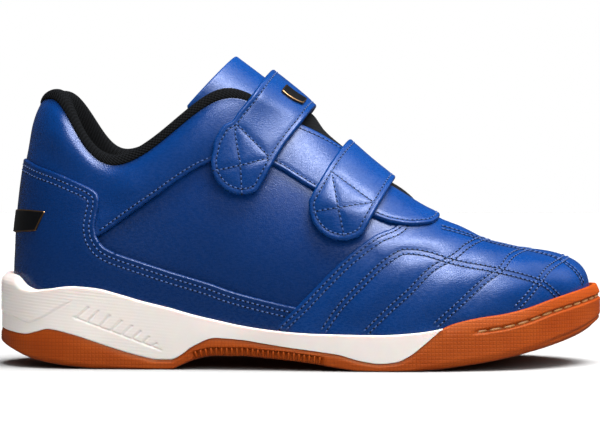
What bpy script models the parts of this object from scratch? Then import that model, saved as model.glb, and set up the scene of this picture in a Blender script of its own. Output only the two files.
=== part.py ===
"""Child's indoor court shoe, right foot, low cut, with two hook-and-loop straps.

Lengths are millimetres until a mesh is made. Toe along +X, outer side at -Y, up +Z,
the sole's flat spots at z = 0.
"""
import math

import bmesh
import bpy
import numpy as np

MM = 0.001
GAP = 0.3
LINE_STEPS = 90
BOX_MIDDLE = (0.5, -0.65, 0.0)

# Upper and what lies on it: heights above the upper's outer face
WALL = 1.6
VAMP_TOP = 1.1
FACING_TOP = 1.5
COUNTER_FOOT = 1.1
COUNTER_RIM = 1.9
COUNTER_NOSE = 0.9
CUP_LIFT = 1.9
COUNTER_BEND = -64.0
BEND_HALF = 0.12
BACK_STATIONS = 8
FRONT_STATIONS = 21
LOWER_LEVELS = 8
UPPER_LEVELS = 4
COUNTER_LEVELS = 5
PANEL_FOOT = 0.03
EDGE_GAP = 0.012
RIM_LEVEL = 0.996
VAMP_REAR = -6.0
COUNTER_FRONT = -1.5
COUNTER_SPLIT = -12.0
COUNTER_TAPER = -45.0

# Sole
EVEN_STATIONS = 30
KEY_LENGTHS = (-45.0, -41.0, -38.0, -34.0, -30.0, -26.0, -21.0,
               25.0, 30.0, 34.0, 38.0, 40.5, 43.0, 46.0)
KEY_CLEAR = 0.13
RUBBER = 4.0
RUBBER_SIDE = 1.6
RAMP_START = 25.0
EDGE_TURN = 1.3
EDGE_INSET = 0.9
SIDE_INSET = 0.2
CUP_FOOT = 0.02
WALL_FOOT = 0.12
FOOT_RISE = 0.05
STEP_HALF = 0.02
STEP_SPAN = (0.25, 0.7)
SHOULDER = 0.75
SHOULDER_INSET = 0.5
SHOULDER_LEAN = 0.35
MIDSOLE_FRONT = 46.0
STEP_DEPTH = 0.6
LIP = 1.5
TREAD_EDGE = 2.6
FLOOR_INSET = 9.0
GROOVE_START = 54.0
GROOVE_FULL = 60.0
GROOVE_DROP = 4.2
GROOVE_HALF = 0.6
GROOVE_DEPTH = 0.9
RIB_FIRST = -33.0
RIB_LAST = 11.0
RIB_COUNT = 14
RIB_DEPTH = 1.0
RIB_CLEAR = 0.3
FLEX_GROOVES = (21.0, 30.0, 39.0, 48.0, 57.0)
FLEX_HALF = 0.7
FLEX_WIDE = 2.4
FLEX_DEPTH = 1.4
FLEX_TALL = 4.0
BAR_HALF = 50.0
HEEL_GROOVES = (-62.0, -53.0)
INSOLE = 2.6
INSOLE_STATIONS = 24
INSOLE_EDGE = 0.2
INSOLE_ROUND = 0.9

# Straps
STRAP_THICK = 2.2
TAB_LIFT = 0.5
TAB_START = 0.95
TAB_ROUND = 0.96
FACING_RAMP = 0.08
FACING_EARLY = 1.6
CROWN_START = 0.9
CROWN_RAMP = 0.55
RUN_BACK = 3.5
RUN_FRONT = 10.7
RUN_FOOT = 0.2
GIRTH = 3.0
RISE_BACK = 0.97
THROAT_REACH = 0.36
OVER_FACING = 2.2
STRAP_ACROSS = 6
STRAP_ALONG = 24

TONGUE_THICK = 2.6
TONGUE_FACING = 0.9
TONGUE_ACROSS = 11
TONGUE_FACING_ROWS = 4
INSTEP_SLOPE = math.radians(46.0)
WRAP_MAX = math.radians(88.0)

TOE_ROW = 11
ROWS = 2 * TOE_ROW


def columns(names, rows):
    """Name the columns of a short table."""
    return dict(zip(names.split(), np.array(rows, dtype=float).T))


# Blank plates on the ankle strap and the heel
PLATE_THICK = 0.6
PLATE_ACROSS = (-0.2, 0.62, 4)
PLATE_ALONG = (0.385, 0.43, 3)
HEEL_PLATE_END = 1.45
HEEL_PLATE_STATIONS = 11
HEEL_PLATE = columns("x low high", ((-100.0, 43.4, 50.4), (100.0, 43.4, 50.4)))

# Heights of the sole along its length: tread, top of the rubber's side,
# top of the side wall, footbed
SOLE = columns("x tread rubber wall bed", (
    (-99.3, 7.6, 11.2, 30.5, 14.6),
    (-94.0, 5.3, 10.3, 29.5, 14.6),
    (-89.0, 3.5, 10.0, 26.0, 14.5),
    (-85.0, 2.4, 11.2, 25.0, 14.4),
    (-81.0, 1.6, 11.9, 25.4, 14.3),
    (-73.0, 0.6, 10.1, 26.5, 14.1),
    (-65.0, 0.0, 7.7, 25.9, 13.9),
    (-57.0, 0.0, 5.4, 23.6, 13.6),
    (-50.0, 0.0, 4.0, 21.4, 13.2),
    (-45.0, 0.0, 3.4, 20.2, 13.0),
    (-41.0, 0.0, 3.5, 19.2, 12.7),
    (-38.0, 1.2, 4.9, 18.3, 12.4),
    (-34.0, 3.4, 7.3, 17.2, 12.1),
    (-27.0, 5.7, 9.7, 15.6, 11.6),
    (-19.0, 5.4, 9.0, 13.8, 11.1),
    (-11.0, 4.4, 7.7, 12.7, 10.6),
    (-3.0, 3.4, 6.5, 11.9, 10.1),
    (5.0, 2.1, 5.4, 11.5, 9.5),
    (12.0, 0.8, 4.2, 11.5, 9.0),
    (19.0, 0.0, 3.2, 11.5, 8.7),
    (25.0, 0.0, 2.8, 11.5, 8.6),
    (30.0, 0.0, 3.1, 11.8, 8.7),
    (34.0, 0.0, 4.2, 12.1, 8.8),
    (38.0, 0.1, 6.5, 12.5, 9.0),
    (42.0, 0.4, 9.8, 13.1, 9.3),
    (46.0, 0.8, 13.6, 14.2, 9.7),
    (49.0, 1.2, 15.5, 15.5, 10.0),
    (56.0, 2.1, 17.6, 17.6, 10.8),
    (64.0, 3.4, 18.9, 18.9, 12.0),
    (72.0, 5.1, 20.3, 20.3, 13.4),
    (80.0, 7.0, 22.4, 22.4, 15.0),
    (90.0, 9.9, 24.5, 24.5, 17.0),
    (100.5, 14.2, 26.6, 26.6, 19.0),
))

# Step on the heel of the side wall, and the slanted teeth ahead of it: foot, run and rise
STEP_LINE = columns("x z", (
    (-99.3, 17.6), (-93.3, 16.3), (-87.7, 14.6), (-82.4, 16.4), (-77.6, 19.0), (-72.0, 22.0),
))
TEETH = columns("x z run rise", (
    (-71.6, 16.4, 4.3, 3.4), (-68.3, 15.1, 4.3, 2.9), (-64.4, 13.5, 4.3, 2.9), (-60.6, 11.9, 3.2, 2.2),
    (-57.4, 10.6, 3.2, 1.9), (-53.8, 9.6, 3.0, 1.2),
))
TOOTH_DEPTH = 0.6
TOOTH_WIDE = 2.2

# One row for each section of the upper, heel to toe: foot of the section, how far its lower
# handle leans out and rises, how far its upper handle stands out and drops, its end at the rim,
# and how far the sole stands out beyond its foot
SECTION = "foot_x foot_y belly rise out drop rim_x rim_y rim_z flare"
HEEL = (-93.2, 0.0, 3.0, 23.0, 4.2, 18.5, -85.0, 0.0, 87.5, 6.0)
OUTER = (
    (-88.5, -13.6, 3.0, 23.0, 4.0, 20.0, -80.5, -10.8, 86.5, 5.6),
    (-77.0, -21.3, 3.0, 22.0, 3.0, 18.0, -71.5, -16.8, 73.0, 5.0),
    (-60.0, -24.0, 3.0, 20.0, 2.5, 15.0, -60.0, -19.2, 65.0, 4.6),
    (-40.0, -25.0, 3.0, 22.0, 2.5, 18.0, -44.0, -20.4, 73.0, 4.4),
    (-20.0, -27.0, 3.0, 26.0, 3.0, 24.0, -26.0, -19.6, 86.0, 4.4),
    (0.0, -30.2, 3.0, 26.0, 6.0, 22.0, -11.0, -16.9, 82.5, 4.4),
    (20.0, -33.3, 3.5, 26.0, 12.0, 19.0, 4.0, -15.1, 75.5, 4.4),
    (42.0, -33.8, 4.0, 25.0, 17.0, 15.0, 17.0, -13.2, 67.0, 4.4),
    (64.0, -29.3, 5.0, 24.0, 23.0, 15.5, 28.0, -10.0, 59.5, 4.5),
    (82.0, -19.2, 5.8, 25.5, 26.5, 20.0, 35.5, -5.6, 54.2, 4.8),
)
TOE = (95.0, 2.6, 5.8, 28.8, 28.0, 24.9, 38.5, 0.0, 52.4, 5.2)
INNER = (
    (-88.5, 13.6, 3.0, 23.0, 4.0, 20.0, -79.6, 10.8, 87.6, 5.6),
    (-77.0, 21.1, 3.0, 22.0, 3.0, 18.0, -69.8, 16.8, 78.6, 5.0),
    (-60.0, 23.2, 3.0, 21.0, 2.5, 16.0, -60.0, 19.0, 69.0, 4.6),
    (-40.0, 23.0, 3.0, 22.0, 2.5, 18.0, -44.0, 20.0, 75.4, 4.4),
    (-20.0, 23.3, 3.0, 26.0, 3.0, 24.0, -26.0, 19.2, 86.4, 4.4),
    (0.0, 25.6, 3.0, 26.0, 6.0, 22.0, -11.0, 16.9, 83.0, 4.4),
    (20.0, 29.8, 3.5, 26.0, 12.0, 19.0, 4.0, 15.1, 76.0, 4.4),
    (42.0, 32.8, 4.0, 25.0, 17.0, 15.0, 17.0, 13.2, 67.3, 4.4),
    (64.0, 31.0, 5.0, 24.0, 23.0, 15.5, 28.0, 10.0, 59.7, 4.5),
    (82.0, 23.6, 5.8, 25.5, 26.5, 20.0, 35.5, 5.6, 54.2, 4.8),
)

# Edges of the panels, seen from the side
COUNTER_EDGE = columns("x z", (
    (-95.0, 68.8), (-92.0, 68.0), (-81.3, 64.5), (-74.6, 61.4), (-68.3, 58.3), (-65.4, 56.2),
    (-63.8, 52.0), (-63.4, 44.0), (-62.6, 40.0), (-59.0, 36.9), (-46.7, 32.6), (-34.6, 28.7),
    (-22.3, 24.9), (-10.2, 21.8), (-2.0, 20.0), (6.0, 18.5),
))
FACING_EDGE = columns("x z", (
    (-64.6, 41.8), (-47.8, 53.6), (-29.8, 65.3), (-19.7, 68.3), (-9.6, 65.3), (4.2, 57.2),
    (14.4, 52.0), (23.0, 48.4), (29.0, 46.2), (35.2, 45.3), (42.0, 45.6), (46.4, 46.9), (52.0, 48.6),
))
VAMP_EDGE = columns("x z", (
    (-10.5, 9.0), (-8.5, 12.3), (-5.0, 16.1), (0.0, 20.8), (6.0, 27.1), (15.2, 36.0),
    (24.4, 42.7), (31.0, 45.8), (36.0, 59.0),
))

# Tongue's outer face: its centre line, half width, drop of its wings
TONGUE = columns("x z half drop", (
    (-22.2, 101.2, 14.6, 23.0),
    (-11.8, 93.4, 14.2, 20.0),
    (-2.5, 86.2, 13.4, 18.5),
    (4.5, 80.8, 12.9, 18.0),
    (8.3, 76.0, 12.5, 17.0),
    (14.0, 70.4, 12.2, 16.0),
    (22.0, 63.0, 11.4, 14.0),
    (30.0, 56.0, 10.4, 11.0),
    (38.0, 49.4, 9.0, 7.0),
    (42.0, 46.8, 8.0, 5.0),
))

# Section of the collar roll and its lining: outwards from the rim, up from it
ROLL = columns("out up", (
    (0.7, 0.4), (1.2, 1.6), (0.3, 2.9), (-1.5, 3.3), (-3.4, 2.3), (-4.6, -0.5), (-4.9, -6.0),
    (-3.8, -13.0), (-2.9, -19.0), (-2.1, -19.0), (-2.1, -9.0), (-2.1, 0.4),
))
ROLL_END = 6.2
ROLL_FULL = 3.4
ROLL_SLIM = 0.62
ROLL_STATIONS = 33
RIM_SHARE = 0.1


def smooth(table, column, at):
    """Height of a table's column at a length, without overshoot between its rows."""
    xs, ys = table["x"], table[column]
    step = np.diff(xs)
    slope = np.diff(ys) / step
    tangent = np.zeros_like(ys)
    tangent[0], tangent[-1] = slope[0], slope[-1]
    same = slope[:-1] * slope[1:] > 0
    mean = 2 * slope[:-1] * slope[1:] / np.where(same, slope[:-1] + slope[1:], 1.0)
    tangent[1:-1] = np.where(same, mean, 0.0)
    at = np.clip(at, xs[0], xs[-1])
    i = np.clip(np.searchsorted(xs, at) - 1, 0, len(xs) - 2)
    f = (at - xs[i]) / step[i]
    rise = (1 + 2 * f) * (1 - f) ** 2 * ys[i] + f * f * (3 - 2 * f) * ys[i + 1]
    return rise + step[i] * f * (1 - f) * ((1 - f) * tangent[i] - f * tangent[i + 1])


def ease(value):
    """Soft step from 0 to 1."""
    value = np.clip(value, 0.0, 1.0)
    return value * value * (3 - 2 * value)


def closed_spline(rows):
    """Smooth loop through the sections; its parameter counts sections."""
    points = np.array(rows)
    unit = np.eye(len(points))
    system = 4 * unit + np.roll(unit, 1, 0) + np.roll(unit, -1, 0)
    tangents = np.linalg.solve(system, 3 * (np.roll(points, -1, 0) - np.roll(points, 1, 0)))

    def at(s):
        s = np.asarray(s, dtype=float) % len(points)
        i = np.floor(s).astype(int) % len(points)
        j = (i + 1) % len(points)
        f = (s - np.floor(s))[..., None]
        ends = (1 + 2 * f) * (1 - f) ** 2 * points[i] + f * f * (3 - 2 * f) * points[j]
        return ends + f * (1 - f) * ((1 - f) * tangents[i] - f * tangents[j])

    return at


section_at = closed_spline((HEEL,) + OUTER + (TOE,) + INNER[::-1])


def section(s):
    """Named values of the section at s."""
    return dict(zip(SECTION.split(), np.moveaxis(section_at(s), -1, 0)))


def last(s, t):
    """Point on the upper's outer face: s runs round the foot, t from the sole to the rim."""
    s, t = np.broadcast_arrays(np.asarray(s, dtype=float), np.asarray(t, dtype=float))
    row = section(s)
    run = np.hypot(row["foot_x"] - row["rim_x"], row["foot_y"] - row["rim_y"])
    away_x = (row["foot_x"] - row["rim_x"]) / run
    away_y = (row["foot_y"] - row["rim_y"]) / run
    foot_z = smooth(SOLE, "bed", row["foot_x"]) + GAP
    foot = np.stack((row["foot_x"], row["foot_y"], foot_z), -1)
    rim = np.stack((row["rim_x"], row["rim_y"], row["rim_z"]), -1)
    low = foot + np.stack((away_x * row["belly"], away_y * row["belly"], row["rise"]), -1)
    high = rim + np.stack((away_x * row["out"], away_y * row["out"], -row["drop"]), -1)
    t = t[..., None]
    return ((1 - t) ** 3 * foot + 3 * t * (1 - t) ** 2 * low
            + 3 * t * t * (1 - t) * high + t ** 3 * rim)


def unit(vectors):
    return vectors / np.linalg.norm(vectors, axis=-1, keepdims=True)


def outward(s, t):
    """Normal of the upper's outer face."""
    step = 1e-3
    t = np.clip(t, step, 1 - step)
    along = last(np.asarray(s) + step, t) - last(np.asarray(s) - step, t)
    up = last(s, t + step) - last(s, t - step)
    return unit(np.cross(along, up))


def skin(s, t, lift):
    """Point at a height above the upper's outer face."""
    return last(s, t) + np.asarray(lift)[..., None] * outward(s, t)


def crossing(s, table, column, lift=0.0):
    """Where each section rises through an edge seen from the side."""
    found = []
    levels = np.linspace(0.0, 1.0, LINE_STEPS)
    for value in np.atleast_1d(s):
        line = skin(value, levels, np.full(LINE_STEPS, lift))
        above = line[:, 2] - smooth(table, column, line[:, 0])
        first = int(np.argmax(above > 0)) if (above > 0).any() else LINE_STEPS - 1
        if first == 0:
            found.append(0.0)
            continue
        part = above[first - 1] / (above[first - 1] - above[first])
        found.append(levels[first - 1] + np.clip(part, 0.0, 1.0) * (levels[1] - levels[0]))
    return np.array(found)


def sides(u):
    """The same station on the outer and the inner side."""
    return np.stack((np.asarray(u, dtype=float), (ROWS - np.asarray(u, dtype=float)) % ROWS))


def plan(s):
    """Foot of the section in plan, and the direction outwards there."""
    step = 1e-3
    row = section(s)
    ahead, behind = section(np.asarray(s) + step), section(np.asarray(s) - step)
    along_x = ahead["foot_x"] - behind["foot_x"]
    along_y = ahead["foot_y"] - behind["foot_y"]
    size = np.hypot(along_x, along_y)
    out = np.stack((along_y / size, -along_x / size), -1)
    return np.stack((row["foot_x"], row["foot_y"]), -1), out, row["flare"]


def material(name, colour, roughness, metallic=0.0):
    made = bpy.data.materials.new(name)
    made.use_nodes = True
    shader = made.node_tree.nodes["Principled BSDF"]
    channels = [int(colour[i:i + 2], 16) / 255 for i in (0, 2, 4)]
    linear = [c / 12.92 if c <= 0.04045 else ((c + 0.055) / 1.055) ** 2.4 for c in channels]
    shader.inputs["Base Color"].default_value = (*linear, 1.0)
    shader.inputs["Roughness"].default_value = roughness
    shader.inputs["Metallic"].default_value = metallic
    return made


def new_body(name, points, faces):
    """Mesh object with its faces turned outwards."""
    mesh = bpy.data.meshes.new(name)
    mesh.from_pydata([tuple(p) for p in (np.asarray(points) - BOX_MIDDLE) * MM], [], faces)
    shape = bmesh.new()
    shape.from_mesh(mesh)
    bmesh.ops.remove_doubles(shape, verts=shape.verts, dist=MM * 1e-3)
    bmesh.ops.recalc_face_normals(shape, faces=shape.faces)
    shape.to_mesh(mesh)
    shape.free()
    return bpy.data.objects.new(name, mesh)


def add_piece(name, points, faces, look):
    """One piece of the shoe."""
    piece = new_body(name, points, faces)
    piece.data.materials.append(look)
    shoe.objects.link(piece)
    piece.parent = stand
    return piece


def add_cutter(name, points, faces):
    """Body that cuts a piece and doesn't show."""
    cutter = new_body(name, points, faces)
    cutters.objects.link(cutter)
    cutter.hide_render = True
    cutter.display_type = "WIRE"
    return cutter


def slab(name, under, over, look, closed=False):
    """Closed sheet between two grids of points of the same size."""
    rows, cols = under.shape[:2]
    points = np.concatenate((under.reshape(-1, 3), over.reshape(-1, 3)))
    top = rows * cols
    reach = cols if closed else cols - 1
    faces = []
    for r in range(rows - 1):
        for c in range(reach):
            d = (c + 1) % cols
            near, far = r * cols, (r + 1) * cols
            faces.append((near + c, far + c, far + d, near + d))
            faces.append((top + near + c, top + near + d, top + far + d, top + far + c))
    for r, turn in ((0, 1), (rows - 1, -1)):
        for c in range(reach):
            d = (c + 1) % cols
            a, b = r * cols + c, r * cols + d
            faces.append((a, b, top + b, top + a)[::turn])
    if not closed:
        for c, turn in ((0, -1), (cols - 1, 1)):
            for r in range(rows - 1):
                a, b = r * cols + c, (r + 1) * cols + c
                faces.append((a, b, top + b, top + a)[::turn])
    return add_piece(name, points, faces, look)


def basin(name, rings, look, front_open=False):
    """Body between rings that each hold an outer and an inner side, heel to toe.

    Strips across the foot close the first and the last ring.
    """
    rings = np.array(rings)
    count, _, stations = rings.shape[:3]
    points = rings.reshape(-1, 3)

    def corner(ring, side, station):
        return (ring * 2 + side) * stations + station

    faces = []
    for station in range(stations - 1):
        ahead = station + 1
        for ring in range(count - 1):
            for side in (0, 1):
                faces.append((corner(ring, side, station), corner(ring, side, ahead),
                              corner(ring + 1, side, ahead), corner(ring + 1, side, station)))
        for ring in (0, count - 1):
            faces.append((corner(ring, 0, station), corner(ring, 0, ahead),
                          corner(ring, 1, ahead), corner(ring, 1, station)))
    if front_open:
        ahead = stations - 1
        for ring in range(count - 1):
            faces.append((corner(ring, 0, ahead), corner(ring + 1, 0, ahead),
                          corner(ring + 1, 1, ahead), corner(ring, 1, ahead)))
    return add_piece(name, points, faces, look)


def station_at(length):
    """Station whose outer sole edge lies at a length."""
    u = np.linspace(0.0, TOE_ROW, 400)
    foot, out, flare = plan(u)
    return np.interp(length, (foot + out * flare[..., None])[:, 0], u)


def sole_stations():
    """Stations of the sole: an even run, and those where its lines turn."""
    key = station_at(np.array(KEY_LENGTHS))
    even = np.linspace(0.0, TOE_ROW, EVEN_STATIONS)
    clear = [u for u in even if np.abs(key - u).min() > KEY_CLEAR]
    return np.sort(np.concatenate((clear, key)))


def bar(outline):
    """Corners and faces of a bar across the foot with an outline seen from the side."""
    count = len(outline)
    corners = [(x, y, z) for y in (-BAR_HALF, BAR_HALF) for x, z in outline]
    faces = [tuple(range(count)), tuple(range(2 * count - 1, count - 1, -1))]
    for c in range(count):
        d = (c + 1) % count
        faces.append((c, count + c, count + d, d))
    return corners, faces


def make_tread_cutter():
    """Bars that cut the ribs under the arch and the flex grooves of ball and heel."""
    tread = sole_line("tread")
    half_pitch = (RIB_LAST - RIB_FIRST) / RIB_COUNT / 2
    comb_x = np.arange(RIB_FIRST, RIB_LAST + half_pitch / 2, half_pitch)
    crest = np.arange(len(comb_x)) % 2
    comb = list(zip(comb_x, tread(comb_x) - RIB_CLEAR + (RIB_CLEAR + RIB_DEPTH) * crest))
    outlines = [comb + [(RIB_LAST, -BAR_HALF), (RIB_FIRST, -BAR_HALF)]]
    for middle in FLEX_GROOVES + HEEL_GROOVES:
        top = float(tread(middle)) + FLEX_DEPTH
        outlines.append([(middle - FLEX_WIDE, top - FLEX_TALL), (middle - FLEX_HALF, top),
                         (middle + FLEX_HALF, top), (middle + FLEX_WIDE, top - FLEX_TALL)])
    points, faces = [], []
    for outline in outlines:
        corners, sides_of_bar = bar(outline)
        faces += [tuple(len(points) + c for c in face) for face in sides_of_bar]
        points += corners
    return add_cutter("tread_cutter", points, faces)


def sole_line(column):
    return lambda x: smooth(SOLE, column, x)


def rubber_floor(x):
    """Top of the rubber under the midsole."""
    under = np.minimum(sole_line("rubber")(x), sole_line("tread")(x) + RUBBER)
    ramp = np.minimum(sole_line("rubber")(x), sole_line("bed")(x) - 3 * GAP)
    return np.where(x > RAMP_START, ramp, under)


class SoleSide:
    """Outline of the sole at a set of stations, outer and inner side."""

    def __init__(self, stations):
        self.s = sides(stations)
        self.ones = np.ones_like(self.s)
        self.foot, self.out, self.flare = plan(self.s)
        own_x = (self.foot + self.out * self.flare[..., None])[..., 0]
        self.edge_x = np.stack((own_x[0], own_x[0]))
        self.shift = self.edge_x - own_x

    def line(self, column):
        return smooth(SOLE, column, self.edge_x)

    def ring(self, inset, height):
        """Ring at an inset from the outline; height is a value or a function of length."""
        flat = self.foot + self.out * (self.flare - inset * self.ones)[..., None]
        z = height(flat[..., 0] + self.shift) if callable(height) else height * self.ones
        return np.concatenate((flat, z[..., None]), -1)

    def cup(self, level, lift, height=None):
        """Ring on the upper at a level, held off it; height resets its heights."""
        ring = skin(self.s, level * self.ones, lift * self.ones)
        if height is None:
            return ring
        return np.concatenate((ring[..., :2], height(ring[..., 0] + self.shift)[..., None]), -1)


def crossing_grid(s, column, lift):
    """Level on each section where it rises through a line of the sole."""
    return crossing(s.ravel(), SOLE, column, lift).reshape(s.shape)


def make_outsole(look):
    stations = sole_stations()
    step = station_at(MIDSOLE_FRONT + np.array((3 * GAP, 5 * GAP)))
    stations = np.sort(np.concatenate((stations, step)))
    side = SoleSide(stations)
    tread, rubber = side.line("tread"), side.line("rubber")
    ahead = (side.edge_x > MIDSOLE_FRONT + 4 * GAP)[..., None]
    height = rubber - tread
    turn = np.minimum(EDGE_TURN, 0.3 * height)
    groove = GROOVE_DEPTH * ease((side.edge_x - GROOVE_START) / (GROOVE_FULL - GROOVE_START))
    groove_z = rubber - np.minimum(GROOVE_DROP, 0.45 * height)
    half = np.minimum(GROOVE_HALF, 0.08 * height)
    top = crossing_grid(side.s, "wall", CUP_LIFT)
    bed = sole_line("bed")

    rings = (
        side.ring(FLOOR_INSET, sole_line("tread")),
        side.ring(TREAD_EDGE, sole_line("tread")),
        side.ring(EDGE_INSET, tread + 0.5 * turn),
        side.ring(SIDE_INSET, tread + 1.6 * turn),
        side.ring(0.0, groove_z - half),
        side.ring(groove, groove_z - 0.8 * half),
        side.ring(groove, groove_z + 0.8 * half),
        side.ring(SIDE_INSET * np.sign(groove), groove_z + half),
        np.where(ahead, side.cup(top, CUP_LIFT + LIP), side.ring(GAP, rubber)),
        np.where(ahead, side.cup(top, CUP_LIFT), side.ring(RUBBER_SIDE, rubber)),
        np.where(ahead, side.cup(CUP_FOOT, CUP_LIFT, bed),
                 side.ring(RUBBER_SIDE + SHOULDER_INSET, rubber_floor)),
        np.where(ahead, side.ring(FLOOR_INSET, bed), side.ring(FLOOR_INSET, rubber_floor)),
    )
    outsole = basin("outsole", rings, look)
    carve = outsole.modifiers.new("tread", "BOOLEAN")
    carve.object = make_tread_cutter()
    carve.operation = "DIFFERENCE"
    carve.solver = "EXACT"
    return outsole


def make_teeth_cutter():
    """Wedges that cut the slanted teeth into both sides of the midsole."""
    points, faces = [], []
    for x, z, run, rise in zip(TEETH["x"], TEETH["z"], TEETH["run"], TEETH["rise"]):
        for s in sides(station_at(x)):
            foot, out, flare = plan(s)
            face = foot + out * flare
            along = np.array((run, 0.0, rise))
            across = np.array((rise, 0.0, -run)) * (TOOTH_WIDE / math.hypot(run, rise))
            outside = np.append(out, 0.0)
            base = np.append(face, z)
            for end in (base, base + along):
                points += [end - outside * TOOTH_DEPTH, end + outside * TOOTH_DEPTH * 2,
                           end + outside * TOOTH_DEPTH * 2 + across]
            a = len(points) - 6
            faces += [(a, a + 1, a + 2), (a + 3, a + 5, a + 4), (a, a + 3, a + 4, a + 1),
                      (a + 1, a + 4, a + 5, a + 2), (a + 2, a + 5, a + 3, a)]
    return add_cutter("teeth_cutter", points, faces)


def make_midsole(look):
    stations = sole_stations()
    side = SoleSide(stations[stations < station_at(MIDSOLE_FRONT) + 1e-6])
    wall = side.line("wall")
    low = np.minimum(side.line("rubber") + GAP, wall - GAP)
    tall = wall - low
    top = crossing_grid(side.s, "wall", CUP_LIFT)
    bed = sole_line("bed")

    def under(x):
        return rubber_floor(x) + GAP

    def at_wall(ring):
        return np.concatenate((ring[..., :2], wall[..., None]), -1)

    lip = at_wall(side.cup(top, CUP_LIFT + LIP))
    step_low, step_high = (low + part * tall for part in STEP_SPAN)
    step_z = np.clip(smooth(STEP_LINE, "z", side.edge_x), step_low, step_high)
    step_in = STEP_DEPTH * (side.edge_x < STEP_LINE["x"][-1])
    shoulder = side.ring(SHOULDER_INSET, low + SHOULDER * tall)
    shoulder = shoulder + SHOULDER_LEAN * (lip - shoulder) * np.array((1.0, 1.0, 0.0))
    foot = np.maximum(low, under(side.edge_x) + FOOT_RISE)
    rings = (
        side.ring(FLOOR_INSET, under),
        side.ring(RUBBER_SIDE + GAP + SHOULDER_INSET, under),
        side.ring(RUBBER_SIDE + GAP, foot),
        side.ring(SIDE_INSET, foot),
        side.ring(0.0, low + WALL_FOOT * tall),
        side.ring(FOOT_RISE, step_z - STEP_HALF * tall),
        side.ring(FOOT_RISE + step_in, step_z + STEP_HALF * tall),
        shoulder,
        lip,
        at_wall(side.cup(top, CUP_LIFT)),
        side.cup(0.5 * top, CUP_LIFT),
        side.cup(CUP_FOOT, CUP_LIFT, bed),
        side.ring(FLOOR_INSET, bed),
    )
    midsole = basin("midsole", rings, look, front_open=True)
    carve = midsole.modifiers.new("teeth", "BOOLEAN")
    carve.object = make_teeth_cutter()
    carve.operation = "DIFFERENCE"
    carve.solver = "EXACT"
    return midsole


def make_insole(look):
    side = SoleSide(np.linspace(0.0, TOE_ROW, INSOLE_STATIONS))
    bed = sole_line("bed")

    def ring(inset, rise):
        return side.ring(side.flare + WALL + GAP + inset, lambda x: bed(x) + GAP + rise)

    rings = (ring(FLOOR_INSET, 0.0), ring(INSOLE_EDGE, 0.0), ring(INSOLE_EDGE / 2, INSOLE - INSOLE_ROUND),
             ring(INSOLE_ROUND, INSOLE), ring(FLOOR_INSET, INSOLE))
    return basin("insole", rings, look)


def panel_stations():
    """Stations of the upper and its panels round the foot, with a pair at the counter's bend."""
    bend = station_at(COUNTER_BEND)
    back = np.linspace(0.0, bend - BEND_HALF, BACK_STATIONS)
    side = np.concatenate((back, np.linspace(bend + BEND_HALF, TOE_ROW, FRONT_STATIONS)))
    return np.concatenate((side, ROWS - side[-2:0:-1]))


def facing_level(s):
    """Lower edge of the collar panel: along the counter at the heel, then along its own line."""
    behind = np.minimum(s, ROWS - s) < station_at(COUNTER_BEND)
    return np.where(behind, crossing(s, COUNTER_EDGE, "z") + EDGE_GAP, crossing(s, FACING_EDGE, "z"))


def stations_between(first, end):
    """Stations of the upper within a span, with the span's ends."""
    s = panel_stations()
    s = np.concatenate((s - ROWS, s))
    inside = s[(s > first + 0.1) & (s < end - 0.1)]
    return np.concatenate(((first,), inside, (end,)))


def make_upper(look):
    s = panel_stations()
    edge = facing_level(s)
    lower = np.linspace(0.0, 1.0, LOWER_LEVELS)[:, None] * edge
    upper = edge + np.linspace(0.0, 1.0, UPPER_LEVELS)[1:, None] * (1 - edge)
    t = np.concatenate((lower, upper))
    s = np.broadcast_to(s, t.shape)
    zero = np.zeros_like(t)
    return slab("upper", skin(s, t, zero - WALL), skin(s, t, zero), look, closed=True)


def panel(name, s, low, high, levels, lifts, look, closed=False):
    """Leather panel on the upper between two levels; lifts gives its outer face."""
    part = np.linspace(0.0, 1.0, levels)[:, None]
    t = low + part * (high - low)
    s = np.broadcast_to(s, t.shape)
    under = skin(s, t, np.full(t.shape, GAP))
    return slab(name, under, skin(s, t, lifts(s, part)), look, closed)


def make_vamp(look):
    ahead = sides(station_at(VAMP_REAR))
    s = stations_between(float(ahead[0]), float(ahead[1]))
    high = np.minimum(crossing(s, VAMP_EDGE, "z"), facing_level(s) - EDGE_GAP)
    high = np.maximum(high, PANEL_FOOT + 2 * EDGE_GAP)
    return panel("vamp", s, PANEL_FOOT, high, LOWER_LEVELS,
                 lambda s, part: np.full(s.shape, VAMP_TOP), look)


def make_counter(look):
    front = station_at(COUNTER_FRONT)
    taper = station_at(COUNTER_TAPER)
    s = stations_between(-front, front)
    high = crossing(s, COUNTER_EDGE, "z")
    under_vamp = crossing(s, VAMP_EDGE, "z") + EDGE_GAP
    meets_vamp = np.abs(s) > station_at(COUNTER_SPLIT)
    low = np.where(meets_vamp, np.maximum(PANEL_FOOT, under_vamp), PANEL_FOOT)

    def lifts(s, part):
        nose = ease((np.abs(s) - taper) / (front - taper))
        rim = COUNTER_RIM + nose * (COUNTER_NOSE - COUNTER_RIM)
        base = COUNTER_FOOT + nose * (COUNTER_NOSE - COUNTER_FOOT)
        return base + part * (rim - base)

    return panel("heel_counter", s, low, np.maximum(high, low + EDGE_GAP), COUNTER_LEVELS,
                 lifts, look)


def make_facing(look):
    s = panel_stations()
    return panel("collar_panel", s, facing_level(s), np.full_like(s, RIM_LEVEL), UPPER_LEVELS,
                 lambda s, part: np.full(s.shape, FACING_TOP), look, closed=True)


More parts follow.
